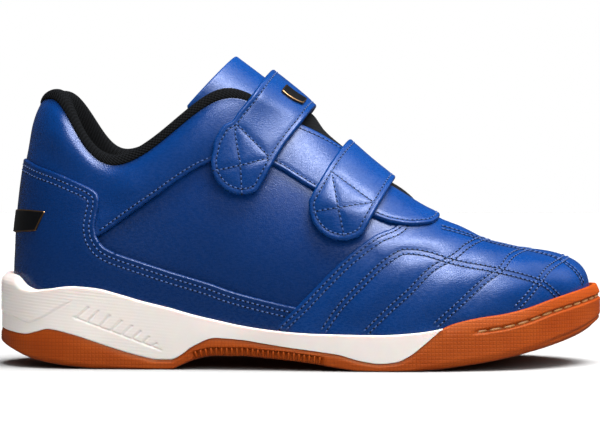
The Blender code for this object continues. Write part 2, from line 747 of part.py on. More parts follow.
def make_collar(look):
    s = np.linspace(-ROLL_END, ROLL_END, ROLL_STATIONS)
    slim = 1.0 - ROLL_SLIM * ease((np.abs(s) - ROLL_FULL) / (ROLL_END - ROLL_FULL))
    rim = last(s, np.ones_like(s))
    rise = rim - last(s, np.full_like(s, 1.0 - RIM_SHARE))
    length = np.linalg.norm(rise, axis=-1) / RIM_SHARE
    rise = unit(rise)
    rings = []
    for out, up in zip(ROLL["out"], ROLL["up"]):
        inside = WALL + GAP
        thick = np.where(out < -inside - PANEL_FOOT, -inside + (out + inside) * slim, out)
        if up > 0:
            rings.append(rim + rise * up + outward(s, np.ones_like(s)) * thick[..., None])
        else:
            rings.append(skin(s, 1.0 + up / length, thick))
    rings = np.array(rings)
    count, stations = rings.shape[:2]
    faces = []
    for ring in range(count):
        ahead = (ring + 1) % count
        for c in range(stations - 1):
            faces.append((ring * stations + c, ring * stations + c + 1,
                          ahead * stations + c + 1, ahead * stations + c))
    faces.append(tuple(ring * stations for ring in range(count)))
    faces.append(tuple(ring * stations + stations - 1 for ring in reversed(range(count))))
    return add_piece("collar_lining", rings.reshape(-1, 3), faces, look)


def tongue_face(rows, sink):
    """Tongue's face: an arch across the foot, swept down its centre line."""
    x, z, half, drop = (TONGUE[name][rows][:, None] for name in ("x", "z", "half", "drop"))
    angle = np.linspace(-WRAP_MAX, WRAP_MAX, TONGUE_ACROSS)[None, :]
    fall = (drop - sink) * (1 - np.cos(angle)) + sink
    y = (half - sink) * np.sin(angle)
    return np.stack((x - math.sin(INSTEP_SLOPE) * fall, y,
                     z - math.cos(INSTEP_SLOPE) * fall), -1)


def make_tongue(look):
    rows = np.arange(len(TONGUE["x"]))
    return slab("tongue", tongue_face(rows, TONGUE_THICK), tongue_face(rows, 0.0), look)


def make_tongue_facing(look):
    rows = np.arange(TONGUE_FACING_ROWS)
    under, over = tongue_face(rows, -GAP), tongue_face(rows, -GAP - TONGUE_FACING)
    return slab("tongue_facing", under, over, look)


def girth(u, v):
    """Curve round the foot at a station: up the outer side, over the throat, down the inner."""
    outer_rim, inner_rim = last(u, 1.0), last(ROWS - u, 1.0)
    outer_rise = unit(outer_rim - last(u, RISE_BACK))
    inner_rise = unit(inner_rim - last(ROWS - u, RISE_BACK))
    reach = THROAT_REACH * np.linalg.norm(outer_rim - inner_rim, axis=-1, keepdims=True)
    w = np.clip(v - 1.0, 0.0, 1.0)[..., None]
    over = ((1 - w) ** 3 * outer_rim + 3 * w * (1 - w) ** 2 * (outer_rim + reach * outer_rise)
            + 3 * w * w * (1 - w) * (inner_rim + reach * inner_rise) + w ** 3 * inner_rim)
    outer = last(u, np.clip(v, 0.0, 1.0))
    inner = last(ROWS - u, np.clip(GIRTH - v, 0.0, 1.0))
    v = v[..., None]
    return np.where(v < 1.0, outer, np.where(v > 2.0, inner, over))


def girth_lift(u, v, height):
    """Girth curve raised off the foot."""
    step = 2e-3
    along = girth(u + step, v) - girth(u - step, v)
    up = girth(u, v + step) - girth(u, v - step)
    return girth(u, v) + np.asarray(height)[..., None] * unit(np.cross(along, up))


# Straps: middle of the strap on the instep, slope of its run, half width, widening of the tab,
# length of the tab and of the sewn end down the sides, rise at the crown and its fall forward
STRAPS = {
    "ankle_strap": dict(x=-5.0, z=86.5, slope=37.0, half=9.2, flare=2.2,
                        tab=35.6, sewn=27.0, crown=3.9, tilt=1.1),
    "instep_strap": dict(x=22.3, z=66.3, slope=32.0, half=9.9, flare=0.6,
                         tab=28.6, sewn=24.0, crown=2.3, tilt=0.0),
}


class StrapRun:
    """Run of a strap over the foot: planes square to the instep cut its lines from the girths."""

    def __init__(self, strap):
        self.strap = strap
        slope = math.radians(strap["slope"])
        self.down = np.array((-math.sin(slope), 0.0, -math.cos(slope)))
        self.middle = np.array((strap["x"], 0.0, strap["z"]))
        self.u = np.linspace(RUN_BACK, RUN_FRONT, LINE_STEPS)
        self.v = np.linspace(RUN_FOOT, GIRTH - RUN_FOOT, 3 * LINE_STEPS)
        along = np.array((math.cos(slope), 0.0, -math.sin(slope)))
        grid_u, grid_v = np.meshgrid(self.u, self.v)
        self.field = (girth(grid_u, grid_v) - self.middle) @ along

    def line(self, a, part):
        """Stations, levels and heights of one line; a runs across, part from tab to sewn end."""
        strap, v = self.strap, self.v
        widen = strap["flare"] * ease(2 * (TAB_START - v) / TAB_START)
        offset = a * strap["half"] - max(-a, 0.0) * widen
        cut = np.array([np.interp(at, row, self.u) for at, row in zip(offset, self.field)])
        path = girth(cut, v)
        fall = (path - self.middle) @ self.down
        top = int(np.argmin(fall))
        bow = 1.0 - math.sqrt(1.0 - TAB_ROUND * a * a)
        tab_end = np.interp(strap["tab"] - strap["half"] * bow, fall[top::-1], v[top::-1])
        sewn_end = np.interp(strap["sewn"], fall[top:], v[top:])
        way = np.concatenate(((0.0,), np.cumsum(np.linalg.norm(np.diff(path, axis=0), axis=1))))
        first, end = np.interp((tab_end, sewn_end), v, way)
        level = np.interp(first + part * (end - first), way, v)
        station = np.interp(level, v, cut)
        side = np.minimum(level, GIRTH - level)
        on_facing = ease((side - crossing(station, FACING_EDGE, "z")) / FACING_RAMP + FACING_EARLY)
        lift = TAB_LIFT + (OVER_FACING - TAB_LIFT) * on_facing
        crown = strap["crown"] - strap["tilt"] * a - OVER_FACING
        return station, level, lift + crown * ease((side - CROWN_START) / CROWN_RAMP)

    def sheet(self, across, along, low, high):
        """Grids of points at two heights above the strap's inner face."""
        lines = [self.line(a, along) for a in across]
        under = [girth_lift(station, level, lift + low) for station, level, lift in lines]
        over = [girth_lift(station, level, lift + high) for station, level, lift in lines]
        return np.array(under), np.array(over)


def make_strap(name, look):
    run = StrapRun(STRAPS[name])
    across = np.linspace(-1.0, 1.0, STRAP_ACROSS)
    under, over = run.sheet(across, np.linspace(0.0, 1.0, STRAP_ALONG), 0.0, STRAP_THICK)
    return slab(name, under, over, look)


def make_strap_plate(look):
    run = StrapRun(STRAPS["ankle_strap"])
    low = STRAP_THICK + GAP
    across, along = np.linspace(*PLATE_ACROSS), np.linspace(*PLATE_ALONG)
    under, over = run.sheet(across, along, low, low + PLATE_THICK)
    return slab("strap_plate", under, over, look)


def make_heel_plate(look):
    s = np.linspace(-HEEL_PLATE_END, HEEL_PLATE_END, HEEL_PLATE_STATIONS)
    low, high = crossing(s, HEEL_PLATE, "low"), crossing(s, HEEL_PLATE, "high")
    t = np.stack((low, 0.5 * (low + high), high))
    part = (t - PANEL_FOOT) / (crossing(s, COUNTER_EDGE, "z") - PANEL_FOOT)
    face = COUNTER_FOOT + part * (COUNTER_RIM - COUNTER_FOOT) + GAP
    s = np.broadcast_to(s, t.shape)
    return slab("heel_plate", skin(s, t, face), skin(s, t, face + PLATE_THICK), look)


for thing in list(bpy.data.objects):
    bpy.data.objects.remove(thing, do_unlink=True)
shoe = bpy.data.collections.new("indoor_court_shoe")
bpy.context.scene.collection.children.link(shoe)
cutters = bpy.data.collections.new("cutters")
bpy.context.scene.collection.children.link(cutters)
stand = bpy.data.objects.new("shoe", None)
shoe.objects.link(stand)

leather = material("blue_leather", "1d4f96", 0.42)
knit = material("black_knit", "17191c", 0.85)
gum = material("gum_rubber", "a5480f", 0.55)
white = material("white_foam", "efe8df", 0.6)
sock = material("sock_cloth", "2a2d33", 0.9)

make_outsole(gum)
make_midsole(white)
make_insole(sock)
make_upper(leather)
make_vamp(material("vamp_leather", "1d4f96", 0.42))
make_counter(material("counter_leather", "1b4a8e", 0.42))
make_facing(material("panel_leather", "1d4f96", 0.42))
make_collar(knit)
make_tongue(material("tongue_cloth", "1a1c20", 0.85))
make_tongue_facing(material("tongue_leather", "205aa6", 0.4))
make_strap("ankle_strap", material("ankle_leather", "2a62ad", 0.4))
make_strap("instep_strap", material("instep_leather", "2a62ad", 0.4))
make_strap_plate(material("strap_metal", "5c5a58", 0.3, 1.0))
make_heel_plate(material("heel_metal", "33363d", 0.35, 1.0))
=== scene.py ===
"""Looks of a child's indoor court shoe, right foot: leather, knit, foam and gum rubber.

Lengths are millimetres until a mesh is made. Toe along +X, outer side at -Y, up +Z,
the sole's flat spots at z = 0.
"""
import math

import bpy
import numpy as np
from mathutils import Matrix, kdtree


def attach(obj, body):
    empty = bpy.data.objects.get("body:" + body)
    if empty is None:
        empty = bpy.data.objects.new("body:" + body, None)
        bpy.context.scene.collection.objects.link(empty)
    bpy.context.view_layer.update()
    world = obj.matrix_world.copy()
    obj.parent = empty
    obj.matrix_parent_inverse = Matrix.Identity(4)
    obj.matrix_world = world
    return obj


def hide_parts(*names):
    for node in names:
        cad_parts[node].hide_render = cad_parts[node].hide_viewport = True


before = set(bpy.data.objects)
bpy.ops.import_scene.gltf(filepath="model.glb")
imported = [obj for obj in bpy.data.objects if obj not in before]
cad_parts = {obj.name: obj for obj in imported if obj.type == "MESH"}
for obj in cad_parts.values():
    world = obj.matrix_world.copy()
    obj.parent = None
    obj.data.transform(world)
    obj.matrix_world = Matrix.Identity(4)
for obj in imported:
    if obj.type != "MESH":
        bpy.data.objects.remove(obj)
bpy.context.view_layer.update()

MM = 0.001
GAP = 0.3
FAR = 99.0
LINE_STEPS = 90
BOX_MIDDLE = (0.5, -0.65, 0.0)
TOE_ROW = 11
ROWS = 2 * TOE_ROW

# Rough length of one station and of all levels, for lines that are smoothed in both
GRID_SIZE = (10.0, 60.0)

# Upper: thickness, the heights of its panels above it, their edges and their sewn rows
WALL = 1.6
VAMP_TOP = 1.1
FACING_TOP = 1.6
COUNTER_FOOT = 1.1
COUNTER_RIM = 2.5
COUNTER_NOSE = 0.9
COUNTER_RISE = 30.0
COUNTER_TAPER = -45.0
COUNTER_FRONT = 3.0
COUNTER_BEND = -66.5
UNDER_COUNTER = 2.0
UNDER_FACING = 1.5
LEATHER = 1.2
LEATHER_EDGE = 0.7
VAMP_ROUND = 0.6
WALL_EDGE = 0.35
EDGE_PITCH = 0.15
WELD = 0.002
ROW_INSET = 1.3
ROW_PAIR = 1.65
COUNTER_ROWS = (1.9, 3.6)
ROW_SLACK = 0.4
SHORT_ROW = 6
SEAM_DEPTH = 0.16
SEAM_WIDE = 0.45
VAMP_REAR = 5.2

# Sole
CUP_LIFT = 1.9
LIP = 1.5
LIP_TURN = 2.2
CUP_FOOT = 0.02
MIDSOLE_FRONT = 44.5
RUBBER = 4.0
RUBBER_SIDE = 1.6
RAMP_START = 25.0
TREAD_EDGE = 2.6
FLOOR_INSET = 9.0
INSOLE = 2.6
INSOLE_HOLLOW = 0.5
INSOLE_EDGE = (0.3, 0.0), (0.15, 0.9), (0.2, 1.8), (0.5, 2.4), (1.1, INSOLE)

# Straps
STRAP_THICK = 2.2
STRAP_LEATHER = 1.5
STRAP_EDGE = 0.75
BACKING_INSET = 1.1
BACKING_TOP = STRAP_THICK - STRAP_LEATHER + 0.1
TAB_LIFT = 1.0
TAB_ROUND = 0.96
FACING_RAMP = 0.2
FACING_EARLY = 1.1
CROWN_START = 0.9
CROWN_RAMP = 0.55
RUN_BACK = 3.5
RUN_FRONT = 10.7
RUN_FOOT = 0.2
GIRTH = 3.0
RISE_BACK = 0.97
THROAT_REACH = 0.36
OVER_FACING = 2.2

# Tongue and collar
TONGUE_THICK = 2.6
TONGUE_LEATHER = 0.9
INSTEP_SLOPE = math.radians(41.5)
WRAP_MAX = math.radians(88.0)
ROLL_END = 6.2
ROLL_FULL = 3.4
ROLL_SLIM = 0.62
RIM_SHARE = 0.1


def columns(names, rows):
    """Name the columns of a short table."""
    return dict(zip(names.split(), np.array(rows, dtype=float).T))


# Heights of the sole along its length: tread, top of the rubber's side,
# top of the side wall, footbed
SOLE = columns("x tread rubber wall bed", (
    (-99.3, 7.6, 11.8, 30.1, 14.6),
    (-94.0, 5.3, 11.0, 29.3, 14.6),
    (-89.0, 3.5, 10.5, 26.0, 14.5),
    (-85.0, 2.4, 11.3, 25.0, 14.4),
    (-81.0, 1.6, 12.3, 25.3, 14.3),
    (-73.0, 0.6, 10.8, 26.2, 14.1),
    (-65.0, 0.0, 8.3, 25.6, 13.9),
    (-57.0, 0.0, 5.7, 23.5, 13.6),
    (-50.0, 0.0, 3.8, 21.4, 13.2),
    (-45.0, 0.0, 2.9, 20.2, 13.0),
    (-41.0, 0.0, 2.9, 19.2, 12.7),
    (-38.0, 1.2, 4.2, 18.3, 12.4),
    (-34.0, 2.9, 7.1, 17.2, 12.1),
    (-27.0, 4.2, 9.8, 15.6, 11.6),
    (-19.0, 4.2, 9.3, 13.9, 11.1),
    (-11.0, 3.6, 8.1, 12.7, 10.6),
    (-3.0, 2.9, 6.9, 11.9, 10.1),
    (5.0, 1.9, 5.9, 11.5, 9.5),
    (12.0, 0.8, 4.9, 11.4, 9.0),
    (19.0, 0.0, 3.0, 11.3, 8.7),
    (25.0, 0.0, 2.2, 11.3, 8.6),
    (30.0, 0.0, 2.7, 11.5, 8.7),
    (34.0, 0.0, 4.5, 11.8, 8.8),
    (38.0, 0.1, 7.5, 12.2, 9.0),
    (42.0, 0.4, 11.0, 12.8, 9.3),
    (44.5, 0.6, 13.0, 13.4, 9.5),
    (49.0, 1.2, 14.9, 14.9, 10.0),
    (56.0, 2.1, 16.4, 16.4, 10.8),
    (64.0, 3.4, 17.5, 17.5, 12.0),
    (72.0, 5.1, 19.3, 19.3, 13.4),
    (80.0, 7.0, 21.8, 21.8, 15.0),
    (90.0, 9.9, 24.3, 24.3, 17.0),
    (100.5, 14.2, 26.6, 26.6, 19.0),
))

# Step on the heel of the side wall, and the slanted teeth ahead of it: foot, run and rise
STEP_LINE = columns("x z", (
    (-99.3, 17.6), (-93.3, 16.3), (-87.7, 14.6), (-82.4, 16.4), (-77.6, 19.0), (-72.0, 22.0),
))
TEETH = columns("x z run rise", (
    (-71.3, 16.1, 3.9, 3.5), (-67.6, 14.8, 3.4, 3.7), (-63.7, 13.6, 3.1, 3.5), (-59.8, 12.4, 3.0, 3.0),
    (-56.3, 11.1, 2.8, 2.7), (-53.0, 10.0, 2.3, 2.1), (-49.8, 8.8, 1.8, 1.5), (-46.8, 7.6, 1.1, 0.7),
))
TEETH_LINE = (-71.9, 16.5), (-44.1, 6.2)

# One row for each section of the upper, heel to toe: foot of the section, how far its lower
# handle leans out and rises, how far its upper handle stands out and drops, its end at the rim,
# and how far the sole stands out beyond its foot
SECTION = "foot_x foot_y belly rise out drop rim_x rim_y rim_z flare"
HEEL = (-93.2, 0.0, 3.0, 23.0, 5.2, 18.5, -85.0, 0.0, 85.7, 6.0)
OUTER = (
    (-88.5, -13.6, 3.0, 23.0, 4.6, 20.0, -79.0, -11.6, 86.3, 5.6),
    (-77.0, -21.3, 3.0, 22.0, 3.0, 18.0, -71.0, -16.8, 73.6, 5.0),
    (-60.0, -24.0, 3.0, 20.0, 2.5, 15.0, -60.0, -19.2, 65.0, 4.6),
    (-40.0, -25.0, 3.0, 22.0, 2.5, 18.0, -44.0, -20.4, 73.0, 4.4),
    (-20.0, -27.0, 3.0, 26.0, 3.0, 24.0, -26.0, -19.6, 86.0, 4.4),
    (0.0, -30.2, 3.0, 26.0, 6.0, 22.0, -11.0, -16.9, 82.5, 4.4),
    (20.0, -33.3, 3.5, 26.0, 12.0, 19.0, 4.0, -15.1, 75.5, 4.4),
    (42.0, -33.8, 4.0, 25.0, 17.0, 15.0, 17.0, -13.2, 67.0, 4.4),
    (64.0, -29.3, 5.0, 24.0, 23.0, 14.5, 28.0, -10.0, 58.5, 4.5),
    (82.0, -19.2, 5.8, 25.5, 26.5, 19.0, 35.5, -5.6, 53.2, 4.8),
)
TOE = (95.0, 2.6, 5.8, 28.8, 28.0, 24.0, 38.5, 0.0, 51.5, 5.2)
INNER = (
    (-88.5, 13.6, 3.0, 23.0, 4.6, 20.0, -79.2, 10.8, 87.3, 5.6),
    (-77.0, 21.1, 3.0, 22.0, 3.0, 18.0, -70.2, 16.8, 77.4, 5.0),
    (-60.0, 23.2, 3.0, 21.0, 2.5, 16.0, -60.0, 19.0, 68.2, 4.6),
    (-40.0, 23.0, 3.0, 22.0, 2.5, 18.0, -44.0, 20.0, 75.4, 4.4),
    (-20.0, 23.3, 3.0, 26.0, 3.0, 24.0, -26.0, 19.2, 86.4, 4.4),
    (0.0, 25.6, 3.0, 26.0, 6.0, 22.0, -11.0, 16.9, 83.0, 4.4),
    (20.0, 29.8, 3.5, 26.0, 12.0, 19.0, 4.0, 15.1, 76.0, 4.4),
    (42.0, 32.8, 4.0, 25.0, 17.0, 15.0, 17.0, 13.2, 67.3, 4.4),
    (64.0, 31.0, 5.0, 24.0, 23.0, 14.5, 28.0, 10.0, 58.7, 4.5),
    (82.0, 23.6, 5.8, 25.5, 26.5, 19.0, 35.5, 5.6, 53.2, 4.8),
)

# Edges of the panels, seen from the side
COUNTER_EDGE = columns("x z", (
    (-95.0, 69.4), (-90.7, 67.9), (-84.5, 64.8), (-77.9, 62.1), (-72.0, 59.3), (-67.9, 57.2), (-65.8, 55.4),
    (-65.0, 52.6), (-64.4, 44.5), (-63.7, 41.4), (-61.9, 38.6), (-58.6, 36.8), (-52.7, 34.7), (-40.7, 30.8),
    (-28.5, 27.2), (-22.3, 25.0), (-10.2, 21.8), (-2.0, 20.0), (6.0, 18.5),
))
COUNTER_LEAN = 0.3
COUNTER_LEAN_AT = 49.0
COUNTER_LEAN_RUN = 8.0
FACING_EDGE = columns("x z", (
    (-64.6, 41.8), (-47.8, 53.6), (-29.8, 65.3), (-19.7, 68.3), (-9.6, 65.3), (4.2, 57.2),
    (14.4, 52.0), (23.0, 48.4), (29.0, 46.2), (35.2, 45.3),
    (40.2, 45.5), (43.4, 46.6), (45.0, 48.8), (46.0, 55.0),
))
VAMP_EDGE = columns("x z", (
    (-10.5, 9.0), (-8.5, 12.3), (-5.0, 16.1), (0.0, 20.8), (6.0, 27.1), (15.2, 36.0),
    (24.4, 42.7), (31.0, 45.8), (36.0, 59.0),
))

# Tongue's outer face: its centre line, half width, drop of its wings
TONGUE = columns("x z half drop", (
    (-22.2, 101.2, 14.6, 23.0),
    (-11.8, 93.4, 14.2, 20.0),
    (-2.5, 86.2, 13.4, 18.5),
    (4.5, 80.8, 12.9, 18.0),
    (8.3, 76.0, 12.5, 17.0),
    (14.0, 70.4, 12.2, 16.0),
    (22.0, 63.0, 11.4, 14.0),
    (30.0, 56.0, 10.4, 11.0),
    (38.0, 49.4, 9.0, 7.0),
    (42.0, 46.8, 8.0, 5.0),
))

# Its pad, fuller between and ahead of the straps
TONGUE_PAD = columns("x z half drop", (
    (-22.2, 101.2, 14.6, 23.0), (-11.8, 93.4, 14.2, 20.0), (-2.5, 86.6, 13.4, 18.5), (4.5, 82.6, 12.9, 18.0),
    (8.3, 77.4, 12.5, 17.0), (14.0, 72.4, 12.2, 16.0), (22.0, 66.4, 11.4, 14.0), (30.0, 60.6, 10.4, 11.0),
    (34.0, 58.1, 9.8, 9.0), (37.5, 55.2, 9.2, 7.5), (42.0, 49.4, 8.0, 5.0),
))
TONGUE_HANG = 0.5
TONGUE_DEEP = 22.0
TONGUE_HANG_END = 4.0
TONGUE_LEATHER_END = -2.0
TONGUE_END = 42.0
TONGUE_REACH = 20.0

# Section of the collar roll and its lining: outwards from the rim, up from it
ROLL = columns("out up", (
    (0.9, -0.2), (1.6, 1.3), (0.8, 3.1), (-1.3, 3.7), (-3.5, 2.6), (-4.7, -0.5), (-4.9, -6.0),
    (-3.8, -13.0), (-2.9, -19.0), (-2.1, -19.0), (-2.1, -9.0), (-2.1, 0.4),
))

# Straps: middle of the strap on the instep, slope of its run, half width, how far the tab's corner
# stands out and its height above the tip, how far the tab swings forward, length of the tab and of
# the sewn end down the sides, rise at the crown and its fall forward
STRAPS = {
    "ankle_strap": dict(x=-5.0, z=86.5, slope=37.0, half=9.2, flare=1.7, notch=18.0, sway=2.4,
                        tab=35.0, sewn=27.0, crown=3.9, tilt=1.1),
    "instep_strap": dict(x=22.3, z=66.3, slope=32.0, half=9.9, flare=0.0, notch=18.0, sway=0.9,
                         tab=28.0, sewn=24.0, crown=2.3, tilt=0.0),
}
NOTCH_RAMP = 2.0
NOTCH_FADE = 12.0
SWAY_RUN = 24.0

# Pattern of the vamp's double rows, seen from the side; a row with a ridge length
# runs on over the toe's middle line there
QUILT_ROWS = (
    (columns("x z", ((7.8, 12.9), (11.9, 18.9), (19.8, 27.3), (28.6, 35.1), (32.9, 37.2), (39.5, 36.6),
                     (46.8, 34.4), (62.9, 31.1), (76.0, 27.5), (82.3, 23.0))), None),
    (columns("x z", ((21.0, 12.3), (27.7, 18.9), (33.7, 24.2), (42.6, 32.5), (47.6, 35.0),
                     (53.5, 39.0))), 62.0),
    (columns("x z", ((42.8, 14.7), (49.6, 20.6), (57.8, 27.7), (62.9, 31.1), (67.7, 35.5))), 76.0),
    (columns("x z", ((68.6, 19.8), (73.4, 24.5), (76.6, 28.2), (79.6, 31.0))), 88.5),
    (columns("x z", ((45.5, 44.6), (57.5, 40.8), (72.0, 37.2), (80.3, 35.4), (88.0, 31.8),
                     (92.0, 27.1))), None),
)
QUILT_WIDE = 4.2
QUILT_PUFF = 0.6
QUILT_MIDDLE = 0.45
QUILT_SEAM = 0.12
SEAM_PULL = 0.5
VAMP_TUCK = 0.45
THREAD_LIFT = 0.06

# Soft creases of the leather on both sides: middle, slope in degrees, half length, half width, depth
CREASES = columns("x z slope run wide deep", (
    (18.0, 41.0, -40.0, 9.0, 2.2, 0.12),
    (24.0, 38.0, -42.0, 8.0, 2.4, -0.1),
    (-22.0, 58.0, 12.0, 12.0, 2.2, 0.2),
    (-75.0, 60.0, 70.0, 10.0, 2.6, 0.25),
    (-58.0, 52.0, 20.0, 12.0, 2.4, 0.2),
    (52.0, 30.0, 60.0, 7.0, 2.6, 0.12),
))

# Painted shade, darker towards the sole and the heel, and padding of the collar
PAINTED_SHADE_SLANT = 0.35
PAINTED_SHADE_LOW = 20.0
PAINTED_SHADE_HIGH = 58.0
COLLAR_PAD_FRONT = -12.0
HEEL_PAD = -90.0
COLLAR_SWELL = 1.5
SWELL_DROP = 10.0
SWELL_WIDE = 8.0
EYESTAY = 20.0
THROAT_BACK = -4.0

# Cross sewn on a strap's tab: ends of its top line above the tip, and the lower ends of its two lines,
# each as a share of the half width and a height above the tip
STRAP_CROSS = {
    "ankle_strap": ((19.2, 17.0), (0.57, 2.8), (-0.57, 3.4)),
    "instep_strap": ((18.7, 17.4), (0.5, 3.7), (-0.66, 4.9)),
}
STRAP_STRAIGHT = 14.0
STRAP_PUFF = 0.16
STRAP_SEAM = 0.1
STRAP_PILLOW = 1.5
CROSS_START = 0.88

# Plates: reach across and along the ankle strap, and round the heel
PLATE_ACROSS = (-0.2, 0.62)
PLATE_ALONG = (0.388, 0.427)
PLATE_LIFT = 0.9
PLATE_REACH = 1.4
HEEL_PLATE_TOP = 2.2
PLATE_SLANT = 0.06
HEEL_PLATE = columns("x low high", ((-100.0, 43.6, 50.2), (100.0, 43.6, 50.2)))

# Sole's grooves, ribs and teeth
GROOVE_START = 53.5
GROOVE_DROP = 4.0
GROOVE_DEPTH = 1.1
FLEX_GROOVES = (-62.0, -53.0, 21.0, 30.0, 39.0, 48.0, 57.0)
FLEX_DEPTH = 1.4
CHEVRON = 6.0
CHEVRON_DEPTH = 0.8
LUG_START = 76.0
LUG_HIGH = 2.0
LUG_DEPTH = 0.5
RIB_FIRST = -33.0
RIB_LAST = 6.0
RIB_INSET = 1.0
RIB_SUNK = 1.2
RIB_HIGH = 3.1
RIBS_FRONT = -25.0
RIB_RELIEF = 0.045
RIB_PITCH = 1.0
RIB_SLANT = 0.1
STEP_DEPTH = 0.3
STEP_GROOVE = 0.3
TOOTH_DEPTH = 0.36
HEEL_ROUND = -82.0
LEAN_START = 0.985
HEEL_LEAN = 0.165


def hermite(f, start, end, leave, arrive):
    """Smooth step along a span: its ends, and how it leaves the first and arrives at the second."""
    ends = (1 + 2 * f) * (1 - f) ** 2 * start + f * f * (3 - 2 * f) * end
    return ends + f * (1 - f) * ((1 - f) * leave - f * arrive)


def bezier(t, foot, low, high, rim):
    """Curve between two ends with two handles."""
    return (1 - t) ** 3 * foot + 3 * t * (1 - t) ** 2 * low + 3 * t * t * (1 - t) * high + t ** 3 * rim


def smooth(table, column, at):
    """Height of a table's column at a length, without overshoot between its rows."""
    xs, ys = table["x"], table[column]
    step = np.diff(xs)
    slope = np.diff(ys) / step
    same = slope[:-1] * slope[1:] > 0
    mean = 2 * slope[:-1] * slope[1:] / np.where(same, slope[:-1] + slope[1:], 1.0)
    tangent = np.concatenate((slope[:1], np.where(same, mean, 0.0), slope[-1:]))
    at = np.clip(at, xs[0], xs[-1])
    i = np.clip(np.searchsorted(xs, at) - 1, 0, len(xs) - 2)
    return hermite((at - xs[i]) / step[i], ys[i], ys[i + 1], step[i] * tangent[i], step[i] * tangent[i + 1])


def ease(value):
    """Soft step from 0 to 1."""
    value = np.clip(value, 0.0, 1.0)
    return value * value * (3 - 2 * value)


def hump(away, wide):
    """Soft hump: 1 in its middle, fading over a width."""
    return np.exp(-(away / wide) ** 2)


def closed_spline(rows):
    """Smooth loop through the sections; its parameter counts sections."""
    points = np.array(rows)
    own = np.eye(len(points))
    system = 4 * own + np.roll(own, 1, 0) + np.roll(own, -1, 0)
    tangents = np.linalg.solve(system, 3 * (np.roll(points, -1, 0) - np.roll(points, 1, 0)))

    def at(s):
        s = np.asarray(s, dtype=float) % len(points)
        i = np.floor(s).astype(int) % len(points)
        j = (i + 1) % len(points)
        return hermite((s - np.floor(s))[..., None], points[i], points[j], tangents[i], tangents[j])

    return at


section_at = closed_spline((HEEL,) + OUTER + (TOE,) + INNER[::-1])


def section(s):
    """Named values of the section at s."""
    return dict(zip(SECTION.split(), np.moveaxis(section_at(s), -1, 0)))


def last(s, t):
    """Point on the upper's outer face: s runs round the foot, t from the sole to the rim."""
    s, t = np.broadcast_arrays(np.asarray(s, dtype=float), np.asarray(t, dtype=float))
    row = section(s)
    foot = np.stack((row["foot_x"], row["foot_y"], smooth(SOLE, "bed", row["foot_x"]) + GAP), -1)
    rim = np.stack((row["rim_x"], row["rim_y"], row["rim_z"]), -1)
    away_x, away_y = np.moveaxis(unit((foot - rim)[..., :2]), -1, 0)
    low = foot + np.stack((away_x * row["belly"], away_y * row["belly"], row["rise"]), -1)
    high = rim + np.stack((away_x * row["out"], away_y * row["out"], -row["drop"]), -1)
    return bezier(t[..., None], foot, low, high, rim)


def unit(vectors):
    return vectors / np.linalg.norm(vectors, axis=-1, keepdims=True)


def outward(s, t):
    """Normal of the upper's outer face."""
    step = 1e-3
    t = np.clip(t, step, 1 - step)
    along = last(np.asarray(s) + step, t) - last(np.asarray(s) - step, t)
    up = last(s, t + step) - last(s, t - step)
    return unit(np.cross(along, up))


def skin(s, t, lift):
    """Point at a height above the upper's outer face."""
    return last(s, t) + np.asarray(lift)[..., None] * outward(s, t)


def crossing(s, table, column, lift=0.0):
    """Where each section rises through an edge seen from the side."""
    found = []
    levels = np.linspace(0.0, 1.0, LINE_STEPS)
    for value in np.atleast_1d(s):
        line = skin(value, levels, np.full(LINE_STEPS, lift))
        above = line[:, 2] - smooth(table, column, line[:, 0])
        first = int(np.argmax(above > 0)) if (above > 0).any() else LINE_STEPS - 1
        if first == 0:
            found.append(0.0)
            continue
        part = above[first - 1] / (above[first - 1] - above[first])
        found.append(levels[first - 1] + np.clip(part, 0.0, 1.0) * (levels[1] - levels[0]))
    return np.array(found)


def sides(u):
    """The same station on the outer and the inner side."""
    return np.stack((u, (ROWS - u) % ROWS))


def plan(s):
    """Foot of the section in plan, and the direction outwards there."""
    step = 1e-3
    row = section(s)
    ahead, behind = section(np.asarray(s) + step), section(np.asarray(s) - step)
    along_x = ahead["foot_x"] - behind["foot_x"]
    along_y = ahead["foot_y"] - behind["foot_y"]
    size = np.hypot(along_x, along_y)
    out = np.stack((along_y / size, -along_x / size), -1)
    return np.stack((row["foot_x"], row["foot_y"]), -1), out, row["flare"]


def station_at(length):
    """Station whose outer sole edge lies at a length."""
    u = np.linspace(0.0, TOE_ROW, 400)
    foot, out, flare = plan(u)
    return np.interp(length, (foot + out * flare[..., None])[:, 0], u)


def girth(u, v):
    """Curve round the foot at a station: up the outer side, over the throat, down the inner."""
    outer_rim, inner_rim = last(u, 1.0), last(ROWS - u, 1.0)
    outer_rise = unit(outer_rim - last(u, RISE_BACK))
    inner_rise = unit(inner_rim - last(ROWS - u, RISE_BACK))
    reach = THROAT_REACH * np.linalg.norm(outer_rim - inner_rim, axis=-1, keepdims=True)
    over = bezier(np.clip(v - 1.0, 0.0, 1.0)[..., None], outer_rim, outer_rim + reach * outer_rise,
                  inner_rim + reach * inner_rise, inner_rim)
    outer = last(u, np.clip(v, 0.0, 1.0))
    inner = last(ROWS - u, np.clip(GIRTH - v, 0.0, 1.0))
    v = v[..., None]
    return np.where(v < 1.0, outer, np.where(v > 2.0, inner, over))


def girth_lift(u, v, height):
    """Girth curve raised off the foot."""
    step = 2e-3
    along = girth(u + step, v) - girth(u - step, v)
    up = girth(u, v + step) - girth(u, v - step)
    return girth(u, v) + np.asarray(height)[..., None] * unit(np.cross(along, up))


# Meshes

def show(name, data):
    """Put a new object in the scene."""
    made = bpy.data.objects.new(name, data)
    bpy.context.scene.collection.objects.link(made)
    return made


def set_vectors(mesh, name, vectors):
    """Give a mesh a vector at each corner."""
    held = mesh.attributes.new(name, "FLOAT_VECTOR", "POINT")
    held.data.foreach_set("vector", np.asarray(vectors, dtype=np.float32).ravel())


